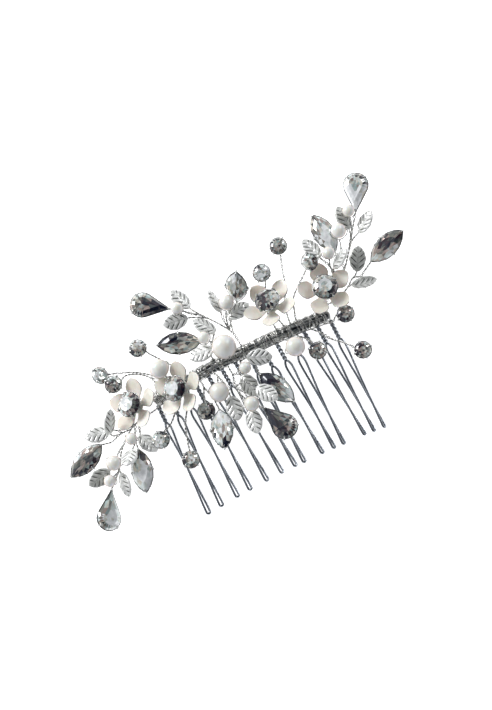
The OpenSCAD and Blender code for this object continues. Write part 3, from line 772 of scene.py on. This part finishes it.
# Heights over its seat on the spine that a stem passes through
STEM_ROOT, STEM_RISE, STEM_LEAVES = -0.3, 0.35, 1.25
# Length of a strand's steps, and the wave above which two strands open in an eye
STRAND_STEP, EYE_LEVEL = 0.16, 0.55


def stem(s, angle, places, end):
    route = [spine_seat(s, angle, rise) for rise in (STEM_RISE, STEM_LEAVES)]
    route += [at(p) for p in places] + [end]
    return np.concatenate([[spine_seat(s, angle, STEM_ROOT)], smooth(route)])


def branch(places, end):
    return smooth([at(p) for p in places] + [end])


def to_teardrop(i):
    return tail(TEARDROPS[i], TEARDROP[0] - TEARDROP[1] / 2 + 0.2)


def to_navette(i):
    return tail(NAVETTES[i], NAVETTE[0] / 2 + 0.2)


def to_round(i):
    return tail(ROUNDS[i], ROUND_D / 2 - 0.1)


def to_leaf(spray_of, i):
    return tail(LEAVES["leaves_" + spray_of][i], LEAF[0] / 2 - 0.3)


def to_pearl(i):
    return at(PEARLS[i][1]) + to_stem(PEARLS[i]) * (loop_reach(PEARLS[i]) + 0.3)


def to_flower(i):
    turn, place = flower_frame(FLOWERS[i])
    return place - turn @ vec(0, 0, 0.12)


SPRAYS = {
    "stems_top_right": [
        stem(29, 60, [(36.5, 5.5, 2.2), (42.3, 9.6, 4.4), (46.4, 14.4, 5), (50.6, 20.4, 4.6)],
             to_teardrop(0)),
        branch([(42.3, 9.6, 4.4), (44.2, 14.5, 6.6)], to_pearl(5)),
        branch([(49, 18, 4.9), (50.6, 20.4, 5.8)], to_pearl(10)),
        branch([(47.6, 16, 5), (49.6, 19.6, 4.8)], to_leaf("top_right", 0)),
        branch([(46.4, 14.4, 5), (49, 17.6, 4.4)], to_leaf("top_right", 1)),
        branch([(38.6, 7, 2.9), (39.2, 10.6, 5.2), (41.4, 13.4, 5)], to_navette(2)),
        branch([(38.8, 8.6, 4), (39, 12.4, 6.6)], to_pearl(11)),
        branch([(39, 9.6, 4.6), (39, 12.4, 6.2)], to_leaf("top_right", 2)),
        branch([(38.6, 7, 2.9), (38.4, 10, 4.6)], to_leaf("top_right", 3)),
    ],
    "stems_right": [
        stem(31, -5, [(36, 3.1, 0.6), (41, 4.8, 1.8), (44, 6.6, 3.2), (46.6, 5.8, 4.2), (49, 7, 4.4)],
             to_navette(3)),
        branch([(44, 6.6, 3.2), (45.2, 7, 3.9)], to_leaf("right", 0)),
        branch([(41, 4.8, 1.8), (42.6, 4.9, 3)], to_leaf("right", 1)),
    ],
    "stems_top": [
        stem(19.7, 50, [(20, 7, 1.4), (21.6, 10.6, 2.4), (23.6, 14.6, 3.2), (24.6, 18.6, 4.4)], to_round(0)),
        stem(13, 45, [(14, 7.4, 1), (15.8, 13, 1.2), (17.6, 16.4, 4.6)], to_round(1)),
        stem(21, 40, [(23.6, 8.4, 3.2), (27, 11.6, 5), (30, 13.6, 7.4)], to_round(2)),
    ],
    "stems_upper_left": [
        stem(1.5, 50, [(1.2, 6.4, 1.6), (-1.4, 11, 2), (-4.9, 15.6, 2.6), (-8, 18.6, 2.8)], to_teardrop(1)),
        branch([(-6.4, 17.2, 2.8), (-8.6, 18.4, 3.4)], to_pearl(8)),
        branch([(-4.9, 15.6, 2.6), (-7.2, 19, 2.8)], to_leaf("upper_left", 0)),
        branch([(-4, 14.6, 2.5), (-7.4, 16.6, 3)], to_leaf("upper_left", 1)),
        branch([(0.4, 8, 1.8), (1.2, 11.6, 3.8)], to_pearl(4)),
        branch([(0.4, 8, 1.8), (0.2, 11.2, 2.8)], to_leaf("upper_left", 2)),
        branch([(1.2, 6.4, 1.6), (1.8, 9.6, 2.2)], to_leaf("upper_left", 3)),
        branch([(0.4, 8, 1.8), (2.4, 11, 1.2), (4.6, 13.4, 0.4)], to_navette(1)),
        stem(-3.2, 90, [], to_pearl(0)),
        stem(-6, 60, [(-6, 5.6, 3.6)], to_pearl(9)),
        stem(-8, 30, [(-8, 5.4, 1.6), (-8.4, 7.6, 1.8)], to_navette(0)),
        branch([(-8, 5.4, 1.6), (-5.6, 8, 2)], to_leaf("upper_left", 4)),
        branch([(-7.4, 4.4, 1.4), (-6.6, 4.6, 3.6)], to_leaf("upper_left", 5)),
    ],
    "stems_left": [
        stem(-20, 40, [(-20.9, 5.7, 1.4), (-23.3, 9.1, 2.8), (-26, 12.6, 4.4)], to_round(3)),
        stem(-26, 20, [(-28.5, 7, 1.6), (-33, 10.6, 2.2), (-38.2, 12.8, 2.8)], to_round(4)),
        stem(-29, 40, [(-29.4, 6.4, 2.4), (-32.6, 9.4, 3.2), (-36.4, 10.4, 4.8)], to_round(5)),
        stem(-24.4, 70, [(-24.4, 3, 3)], to_pearl(1)),
        stem(-24.6, 150, [(-25.4, -5.2, 1.4), (-28, -8.6, 2.4), (-30.6, -11, 4)], to_round(6)),
        stem(-19.7, 160, [(-22, -7, 1.6), (-25.8, -13, 2.8), (-27.6, -19, 4.6)], to_round(7)),
    ],
    "stems_lower_left": [
        stem(-29.5, 150, [(-35, -3.6, 0.6), (-40.4, -4.6, 1.2), (-44.4, -7.4, 2.6), (-48.4, -11.4, 3.2),
                          (-51.6, -16.4, 3)], to_teardrop(2)),
        branch([(-42.4, -5.8, 1.9), (-46.4, -6, 3), (-50, -7.2, 3.6)], to_navette(4)),
        branch([(-45.4, -5.9, 2.8), (-47.4, -4.2, 4)], to_leaf("lower_left", 0)),
        branch([(-46.4, -6, 3), (-48.4, -6, 4.6)], to_leaf("lower_left", 1)),
        branch([(-46.4, -9.4, 2.9), (-48.4, -10.9, 4.4)], to_pearl(6)),
        branch([(-50, -13.9, 3.1), (-51.8, -17.2, 4.6)], to_pearl(12)),
        branch([(-50, -13.9, 3.1), (-52.6, -15.4, 4)], to_leaf("lower_left", 2)),
        branch([(-50, -13.9, 3.1), (-51.4, -16, 2.6)], to_leaf("lower_left", 3)),
        branch([(-42.6, -9, 2), (-43.6, -11.4, 3.8)], to_leaf("lower_left", 5)),
        branch([(-40.4, -4.6, 1.2), (-42.6, -9, 2)], to_navette(5)),
        branch([(-41.2, -7, 2), (-41.8, -8.4, 4.4)], to_pearl(13)),
        branch([(-39.4, -4.5, 1.1), (-39.8, -6.4, 1.6)], to_leaf("lower_left", 4)),
    ],
    "stems_centre": [
        stem(-9.8, 140, [(-9.6, -4, 3)], to_pearl(3)),
        branch([(-9.7, -3.6, 2.7), (-8.6, -8, 2.4)], to_leaf("centre", 0)),
        stem(-14.8, 150, [(-15.2, -5, 1.8), (-16.4, -8, 2.6)], to_round(8)),
        branch([(-15.2, -5, 1.8), (-14, -9.6, 3.2)], to_navette(6)),
        stem(0, 130, [(-1, -3.8, 3.2)], to_pearl(14)),
        branch([(-0.6, -3.2, 2.9), (0.6, -3.4, 4)], to_leaf("centre", 1)),
        stem(-4.9, 160, [(-5, -6, 1.8), (-5.8, -10, 2.2), (-5, -14.4, 2.4), (-2.4, -19, 3)], to_teardrop(3)),
        branch([(-5.8, -10, 2.2), (-4.2, -13.4, 4.8)], to_pearl(7)),
        branch([(-5, -6, 1.8), (-3.2, -6.2, 1.8)], to_leaf("centre", 2)),
        branch([(-5.8, -10, 2.2), (-2.6, -10.6, 5)], to_leaf("centre", 3)),
        branch([(-5.5, -12.4, 2.3), (-5.6, -16, 2.3)], to_leaf("centre", 4)),
        stem(4.9, 150, [(4, -5, 2), (3, -7.6, 3.4)], to_navette(7)),
    ],
    "stems_lower_right": [
        stem(14.8, 140, [(16, -3.4, 2.4)], to_pearl(2)),
        stem(19.7, 160, [(21.4, -5, 2.2), (22.6, -7.4, 4.4)], to_round(11)),
        stem(24.6, 150, [(26.4, -5, 2.2), (29, -9, 3.6), (32.6, -12.8, 5.4)], to_round(10)),
        stem(29.5, 150, [(31.8, -3.4, 2.4), (33, -3, 4.4)], to_round(9)),
    ],
    "stems_flowers": [
        stem(-30.5, 100, [(-35.6, 0.2, 0.8)], to_flower(0)),
        stem(-21.2, 115, [], to_flower(1)),
        stem(16, 70, [(16, 5.6, 2.2)], to_flower(2)),
        stem(31, 30, [(33, 4.4, 2.6)], to_flower(3)),
    ],
}
THREADED = {
    "stems_top_right": (5, 10, 11),
    "stems_upper_left": (0, 4, 8, 9),
    "stems_left": (1,),
    "stems_lower_left": (6, 12, 13),
    "stems_centre": (3, 7, 14),
    "stems_lower_right": (2,),
}


def spray(name):
    """Every stem of a spray as two strands twisted together, here and there open in an eye."""
    rng = random.Random(name)
    shape = Shape()
    for route in SPRAYS[name]:
        path = evenly(route, STRAND_STEP)
        gone = distances(path)
        wave = np.sin(gone / rng.uniform(1.4, 2.2) + rng.uniform(0, 6))
        opened = np.clip(wave - EYE_LEVEL, 0, 1) * rng.uniform(0.15, 0.6)
        offset = STEM_D / 4 + opened * np.clip(gone, 0, 1) * np.clip(gone[-1] - gone, 0, 1)
        pitch = rng.uniform(2.2, 3.0)
        for strand in strands(path, offset, pitch, rng.uniform(0, 6)):
            wire(shape, strand, STEM_D / 4, 8, rng.uniform(0, 0.7))
    for k in THREADED.get(name, ()):
        pearl_loop(shape, PEARLS[k])
    piece("twisted_" + name, shape, SILVER, [name])


# ---- Stones and their settings -----------------------------------------------------------


def round_outline(width, count):
    spin = TURN * np.arange(count) / count
    return width / 2 * np.stack([np.cos(spin), np.sin(spin)], axis=1)


def navette_outline(length, width, count):
    bow = (length**2 + width**2) / (4 * width)
    spin = TURN * np.arange(count) / count
    x = length / 2 * np.cos(spin)
    y = np.sign(np.round(np.sin(spin), 6)) * (np.sqrt(bow**2 - x**2) - bow + width / 2)
    return np.stack([x, y], axis=1)


def teardrop_outline(length, width, count):
    touch = math.radians(86) + math.asin(width / 2 / (length - width / 2))
    spin = touch * np.linspace(-1, 1, count - 3)
    bulb = width / 2 * np.stack([np.cos(spin), np.sin(spin)], axis=1)
    point = vec(width / 2 - length, 0)
    halves = [bulb[-1] * 0.5 + point * 0.5, point, bulb[0] * 0.5 + point * 0.5]
    return np.concatenate([bulb, halves])


def stone(shape, outline, width, frame_of, rng, painted_light):
    """A faceted foiled stone whose facets carry painted reflections and painted light and shade.

    Its last argument is the painted light: how pale the crown is painted, the heading of the side painted
    paler in degrees, and how pale the table is painted.
    """
    turn, place = frame_of
    light, heading, table = painted_light
    n = len(outline)
    half = (outline + np.roll(outline, -1, axis=0)) / 2
    girdle_z, table_z = GIRDLE * width, (GIRDLE + CROWN) * width
    # Painted light: the side of the stone towards this heading is painted paler.
    painted_paler_way = vec(math.cos(math.radians(heading)), math.sin(math.radians(heading)))

    def ring(base, scale, height):
        return np.concatenate([base * scale, np.full((len(base), 1), height)], axis=1)

    rings = [
        ring(outline, 0.1, -PAVILION * width),
        ring(outline, 1.0, 0),
        ring(outline, 1.0, girdle_z),
        ring(half, 0.84, girdle_z + 0.6 * CROWN * width),
        ring(outline, 0.58, table_z),
        ring(half, 0.34, table_z - 0.012 * width),
        ring(outline, 0.15, table_z - 0.004 * width),
    ]
    points, faces, tones = np.concatenate(rings + [[[0, 0, table_z - 0.01 * width]]]), [], []
    patches = {}

    def add(face, patch, base, spread):
        way = (turn @ points[list(face)].mean(axis=0))[:2] / width
        if patch not in patches:
            patches[patch] = rng.uniform(-spread, spread)
        faces.append(face)
        # Painted light and shade and painted reflections: facets towards the paler heading are painted paler,
        # and each patch of facets gets a random painted reflection.
        tone = base + 0.7 * (way @ painted_paler_way) + patches[patch] + rng.uniform(-0.07, 0.07)
        tones.append(min(1, max(0, tone)))

    for k in range(n):
        a, b = k, (k + 1) % n
        star, kite = ("star", k), ("kite", (k + 1) // 2 % (n // 2))
        flat, heart = ("table", k // 2), ("heart", k // 3)
        add((a, b, b + n, a + n), ("pavilion", k // 2), light * 0.7, 0.3)
        add((a + n, b + n, b + 2 * n, a + 2 * n), ("girdle", k), light * 0.6, 0.3)
        add((a + 2 * n, b + 2 * n, a + 3 * n), star, light, 0.34)
        add((b + 2 * n, b + 3 * n, a + 3 * n), kite, light, 0.5)
        add((a + 3 * n, b + 4 * n, a + 4 * n), star, light, 0.34)
        add((a + 3 * n, b + 3 * n, b + 4 * n), kite, light, 0.5)
        add((a + 4 * n, b + 4 * n, a + 5 * n), flat, table, 0.32)
        add((b + 4 * n, b + 5 * n, a + 5 * n), flat, table, 0.32)
        add((a + 5 * n, b + 6 * n, a + 6 * n), heart, table, 0.42)
        add((a + 5 * n, b + 5 * n, b + 6 * n), heart, table, 0.42)
        add((a + 6 * n, b + 6 * n, 7 * n), heart, table, 0.42)
    add(tuple(range(n))[::-1], "culet", 0.2, 0.1)
    shape.place(points, faces, turn, place, tones)


# How far a cup reaches below its stone
CUP_FLOOR = 0.15
CLAW_STOPS, CLAW_RADII = [0, 0.6, 1], [0.2, 0.27, 0.22]


def setting(shape, outline, width, claws, frame_of, foot=0.0):
    """A thin metal cup under a stone, with claws that bend over its crown."""
    turn, place = frame_of
    rim, base = GIRDLE * width * 0.6, -PAVILION * width - CUP_FLOOR
    outer = 1.035 + 0.3 / width
    levels = [(0.34, base - 0.35 - foot), (0.46, base - 0.35 + foot / 2), (0.72, base * 0.55),
              (1.0, -0.25), (outer, 0.0), (outer, rim), (1.02, rim), (1.02, -0.05), (0.12, base)]
    rings = [np.concatenate([outline * k, np.full((len(outline), 1), z)], axis=1) for k, z in levels]
    points, faces = loft(rings)
    shape.place(points, faces, turn, place, 0.4)
    top = (GIRDLE + CROWN) * width
    for direction in claws:
        corner = outline[int(np.argmax(outline @ direction))]
        out = unit(corner)
        size = np.linalg.norm(corner)
        route = [(0.42 * size, base), (0.8 * size, base * 0.45), (size + 0.32, -0.3),
                 (size + 0.3, top * 0.45), (size - 0.02, top * 0.78), (size - 0.5, top * 0.92)]
        path = smooth([(out[0] * r, out[1] * r, z) for r, z in route], 4)
        radii = np.interp(np.linspace(0, 1, len(path)), CLAW_STOPS, CLAW_RADII)
        wire(shape, path @ turn.T + place, radii, 7, 0.15)


def compass(*degrees):
    return [vec(math.cos(math.radians(d)), math.sin(math.radians(d))) for d in degrees]


# Painted light of each stone: how pale its crown is painted, the heading of its side painted paler, and how
# pale its table is painted. The tables at 1.0 of the first two chatons are painted reflections of the window
# lamp.
TEARDROP_PAINTED_LIGHT = [(0.7, 200, 0.78), (0.42, 150, 0.34), (0.82, -60, 0.96), (0.24, -10, 0.3)]
NAVETTE_PAINTED_LIGHT = [(0.4, -100, 0.34), (0.68, 60, 0.74), (0.8, -20, 0.92), (0.42, -80, 0.2),
                 (0.5, 90, 0.34), (0.84, -60, 0.94), (0.78, 100, 0.8), (0.46, -60, 0.34)]
ROUND_PAINTED_LIGHT = [(0.5, 20, 0.45), (0.7, -60, 0.88), (0.55, 90, 0.7), (0.48, 60, 0.6),
               (0.6, 180, 0.85), (0.52, 0, 0.5), (0.6, 200, 0.7), (0.42, 0, 0.8),
               (0.42, 120, 0.45), (0.34, -30, 0.3), (0.38, -60, 0.4), (0.38, -45, 0.4)]
CHATON_PAINTED_LIGHT = [(0.44, 160, 1.0), (0.46, 160, 1.0), (0.48, -30, 0.38), (0.4, 100, 0.92)]


def stones_and_settings():
    drop, boat = teardrop_outline(*TEARDROP, 18), navette_outline(*NAVETTE, 16)
    disc = round_outline(ROUND_D, 16)
    square = compass(0, 90, 180, 270)
    kinds = {
        "teardrop": (TEARDROPS, TEARDROP_PAINTED_LIGHT, drop, TEARDROP[1], compass(55, -55, 180)),
        "navette": (NAVETTES, NAVETTE_PAINTED_LIGHT, boat, NAVETTE[1], square),
        "round": (ROUNDS, ROUND_PAINTED_LIGHT, disc, ROUND_D, compass(45, 135, 225, 315)),
    }
    for kind, (places, painted_lights, outline, width, claws) in kinds.items():
        rng = random.Random(kind)
        stones, cups = Shape(), Shape()
        for ornament, painted_light in zip(places, painted_lights):
            stone(stones, outline, width, placed(ornament), rng, painted_light)
            setting(cups, outline, width, claws, placed(ornament))
        piece(f"faceted_{kind}s", stones, CRYSTAL, [f"{kind}_crystals"], smooth=False)
        piece(f"claw_cups_{kind}", cups, SETTING, [f"{kind}_settings"])
    rng = random.Random("chaton")
    stones, cups = Shape(), Shape()
    outline = round_outline(CHATON_D, 16)
    foot = CHATON_RISE - FLOWER_T - PAVILION * CHATON_D - 0.55
    for flower, painted_light in zip(FLOWERS, CHATON_PAINTED_LIGHT):
        turn, place = flower_frame(flower)
        raised = (turn, place + turn @ vec(0, 0, CHATON_RISE))
        stone(stones, outline, CHATON_D, raised, rng, painted_light)
        setting(cups, outline, CHATON_D, square, raised, foot)
    piece("faceted_chatons", stones, CRYSTAL, ["flower_crystals"], smooth=False)
    piece("claw_cups_flower", cups, SETTING, ["flower_settings"])


# ---- Flowers and leaves ------------------------------------------------------------------

PETALS = 5
PETAL_ROOT = 0.9
PETAL_ROWS, PETAL_COLUMNS = 20, 17
# Half the width of a petal along its length, from its root to its tip
PETAL_STOPS = [0, 0.15, 0.3, 0.45, 0.58, 0.7, 0.82, 0.92, 0.975, 1]
PETAL_HALVES = [0.75, 0.95, 1.7, 2.65, 3.1, 3.0, 2.4, 1.6, 0.9, 0.25]
# The eyelet in the middle of a flower: radius and height of its rings
EYELET_SIDES = 30
EYELET = ((0.6, 0.0), (2.2, 0.02), (2.3, 0.2), (2.2, FLOWER_T), (1.4, FLOWER_T + 0.02), (0.6, FLOWER_T))
LEAF_ROWS, LEAF_COLUMNS = 40, 21
# Half the width of a leaf along its length, as a part of its greatest
LEAF_STOPS = [0, 0.06, 0.2, 0.5, 0.78, 0.92, 1]
LEAF_HALVES = [0.2, 0.45, 0.78, 1, 0.74, 0.4, 0.03]
RIB_PITCH, RIB_SLANT, VEIN_WIDTH = 1.75, 0.9, 0.16


def petal_lift(r, degrees):
    """How far a petal rises at that radius and that many degrees from its middle."""
    cup = FLOWER_CUP * (max(0, r - 2) / (FLOWER_R - 2)) ** 1.3
    return cup + 0.9 * (degrees / 36) ** 2 * (r / FLOWER_R) ** 2


def sheet_solid(top, bottom, rows, columns):
    """Points and faces of a plate between two grids of points."""
    points = np.concatenate([top, bottom])
    n = rows * columns
    faces = []
    for i in range(rows - 1):
        for j in range(columns - 1):
            a, b = i * columns + j, i * columns + j + 1
            c, d = a + columns, b + columns
            faces += [(a, b, d, c), (n + a, n + c, n + d, n + b)]
    rim = list(range(columns)) + [i * columns + columns - 1 for i in range(1, rows)]
    rim += [(rows - 1) * columns + j for j in range(columns - 2, -1, -1)]
    rim += [i * columns for i in range(rows - 2, 0, -1)]
    for k, a in enumerate(rim):
        b = rim[(k + 1) % len(rim)]
        faces.append((b, a, n + a, n + b))
    return points, faces


def flower(i):
    turn, place = flower_frame(FLOWERS[i])
    shape = Shape()
    for petal in range(PETALS):
        top, bottom, edge = [], [], []
        for v in np.linspace(0, 1, PETAL_ROWS):
            r = PETAL_ROOT + (FLOWER_R - PETAL_ROOT) * v
            half = np.interp(v, PETAL_STOPS, PETAL_HALVES)
            for u in np.linspace(-1, 1, PETAL_COLUMNS):
                across = math.sin(u * math.pi / 2)
                y = half * across
                z = petal_lift(r, abs(math.degrees(math.atan2(y, r))))
                top.append((r, y, z + FLOWER_T * (1 - 0.35 * max(abs(u), v) ** 8)))
                bottom.append((r, y, z + FLOWER_T * 0.3))
                edge.append(max(abs(across) ** 1.5 * (0.4 + 0.6 * min(1, v * 2)), v**4))
        points, faces = sheet_solid(np.array(top), np.array(bottom), PETAL_ROWS, PETAL_COLUMNS)
        spin = rotation("z", 360 / PETALS * petal)
        shape.place(points @ spin.T, faces, turn, place, 0.5, edge + [0.95] * len(bottom))
    spin = TURN * np.arange(EYELET_SIDES) / EYELET_SIDES
    x, y = np.cos(spin), np.sin(spin)
    rings = [np.stack([r * x, r * y, np.full(EYELET_SIDES, z)], axis=1) for r, z in EYELET]
    points, faces = loft(rings, bored=True)
    shape.place(points, faces, turn, place)
    piece(f"enamelled_flower_{i + 1}", shape, ENAMEL, [f"flower_{i + 1}"])


def leaf(shape, ornament, shade):
    """A pressed glass leaf with a middle vein and ribs that leave it at a slant."""
    length, width, thick = LEAF
    top, bottom, groove_shade = [], [], []
    for v in np.linspace(0, 1, LEAF_ROWS):
        x = length * (v - 0.5)
        half = width / 2 * np.interp(v, LEAF_STOPS, LEAF_HALVES)
        for u in np.linspace(-1, 1, LEAF_COLUMNS):
            y = half * u
            dome = max(0, 1 - abs(u) ** 2.4) * min(1, 5 * v, 5 * (1 - v))
            rib = max(0, math.cos(TURN * (x - RIB_SLANT * abs(y)) / RIB_PITCH)) ** 1.9
            vein = math.exp(-((y / VEIN_WIDTH) ** 2))
            inside = min(1, (1 - abs(u)) * 4.5) * min(1, 7 * v, 7 * (1 - v))
            cut = max(vein * 0.45, rib * (0.2 + 0.8 * min(1, abs(u) * 2.5))) * inside
            z = thick / 6 + (thick / 2 - thick / 6) * dome**0.6
            top.append((x, y, z - 0.26 * cut))
            bottom.append((x, y, -z + 0.1 * cut))
            # The cut depth also sets the painted shade in the grooves.
            groove_shade.append(cut)
    points, faces = sheet_solid(np.array(top), np.array(bottom), LEAF_ROWS, LEAF_COLUMNS)
    turn, place = placed(ornament)
    shape.place(points, faces, turn, place, shade, groove_shade + [g * 0.6 for g in groove_shade])


def leaves():
    for name, ornaments in LEAVES.items():
        rng = random.Random(name)
        shape = Shape()
        for ornament in ornaments:
            leaf(shape, ornament, rng.choice([0.0, 0.0, 0.15, 0.5]))
        piece("ribbed_" + name, shape, LEAF_GLASS, [name])


# ---- Studio ------------------------------------------------------------------------------

FLOOR_GAP, FLOOR_HALF = 0.0002, 3.0
# The world darkens towards this direction, between those cosines of the angle to it
DARK_WAY = (0.25, -0.46, 0.85)
PALE_UP_TO, DARK_FROM = 0.5, 0.88
WORLD_STRENGTH = 0.55
# Direction, distance and size in metres, and watts of each lamp
LAMPS = {
    "window": ((-0.45, 0.68, 0.58), 0.9, 0.42, 6.2),
    "fill": ((0.75, 0.3, 0.5), 1.2, 0.3, 2.2),
    "low": ((-0.3, -0.85, 0.4), 1.2, 0.3, 0.6),
}
# Degrees that the camera leans from straight above, and that the row of teeth turns in view
CAMERA_LEAN, ROW_TURN = 15, 26.2
# What the camera looks at: millimetres along the row, and up the picture before its turn
AIM = (1.7, -1.4)
# Metres to the camera, and metres that its view is wide there
CAMERA_DISTANCE, VIEW_WIDTH = 1.2, 0.23075


def studio():
    mesh = bpy.data.meshes.new("floor")
    low = min(cad_box[0][2], cad_box[1][2]) - FLOOR_GAP
    corners = [(x * FLOOR_HALF, y * FLOOR_HALF, low) for x, y in ((-1, -1), (1, -1), (1, 1), (-1, 1))]
    mesh.from_pydata(corners, [], [(0, 1, 2, 3)])
    floor = bpy.data.objects.new("floor", mesh)
    bpy.context.scene.collection.objects.link(floor)
    f = Finish("floor_paper", Roughness=0.9, Specular_IOR_Level=0.1, Emission_Strength=0.85)
    f.shader.inputs["Emission Color"].default_value = (1, 1, 1, 1)
    f.colour(f.ramp(f.noise(0.02), [(0.3, (0.86, 0.86, 0.865)), (0.7, (0.88, 0.88, 0.885))]))
    mesh.materials.append(f.material)

    world = bpy.data.worlds.new("studio")
    bpy.context.scene.world = world
    world.use_nodes = True
    tree = world.node_tree
    place = tree.nodes.new("ShaderNodeTexCoord")
    dark_way = tree.nodes.new("ShaderNodeVectorMath")
    dark_way.operation = "DOT_PRODUCT"
    dark_way.inputs[1].default_value = tuple(unit(vec(*DARK_WAY)))
    ramp = tree.nodes.new("ShaderNodeValToRGB")
    stops = (PALE_UP_TO, (0.95, 0.97, 1.0, 1)), (DARK_FROM, (0.035, 0.04, 0.05, 1))
    for element, (position, colour) in zip(ramp.color_ramp.elements, stops):
        element.position = position
        element.color = colour
    tree.links.new(place.outputs["Generated"], dark_way.inputs[0])
    tree.links.new(dark_way.outputs["Value"], ramp.inputs["Fac"])
    tree.links.new(ramp.outputs["Color"], tree.nodes["Background"].inputs["Color"])
    tree.nodes["Background"].inputs["Strength"].default_value = WORLD_STRENGTH

    for name, (direction, distance, size, power) in LAMPS.items():
        light = bpy.data.lights.new(name, "AREA")
        light.size = size
        light.energy = power
        lamp = bpy.data.objects.new(name, light)
        bpy.context.scene.collection.objects.link(lamp)
        way = unit(vec(*direction))
        lamp.location = way * distance
        lamp.rotation_euler = Vector(-way).to_track_quat("-Z", "Y").to_euler()


def camera():
    """The camera looks down on the comb, with the row of teeth turned in view."""
    tilt = math.radians(CAMERA_LEAN)
    row = math.radians(ROW_TURN)
    v = vec(0, math.cos(tilt), math.sin(tilt))
    back = vec(0, -math.sin(tilt), math.cos(tilt))
    u = vec(1, 0, 0)
    right = math.cos(row) * u - math.sin(row) * v
    up = math.sin(row) * u + math.cos(row) * v
    middle = (AIM[0] * u + AIM[1] * v) * MM
    data = bpy.data.cameras.new("camera")
    data.lens = data.sensor_width * CAMERA_DISTANCE / VIEW_WIDTH
    data.clip_start, data.clip_end = 0.05, 20
    eye = bpy.data.objects.new("camera", data)
    bpy.context.scene.collection.objects.link(eye)
    where = middle + back * CAMERA_DISTANCE
    eye.matrix_world = Matrix([[right[k], up[k], back[k], where[k]] for k in range(3)] + [[0, 0, 0, 1]])
    bpy.context.scene.camera = eye
    bpy.context.scene.view_settings.view_transform = "Standard"


spine()
binding()
for i in range(TOOTH_COUNT):
    tooth(i)
for i in range(len(PEARLS)):
    pearl(i)
for name in SPRAYS:
    spray(name)
stones_and_settings()
for i in range(len(FLOWERS)):
    flower(i)
leaves()
studio()
camera()
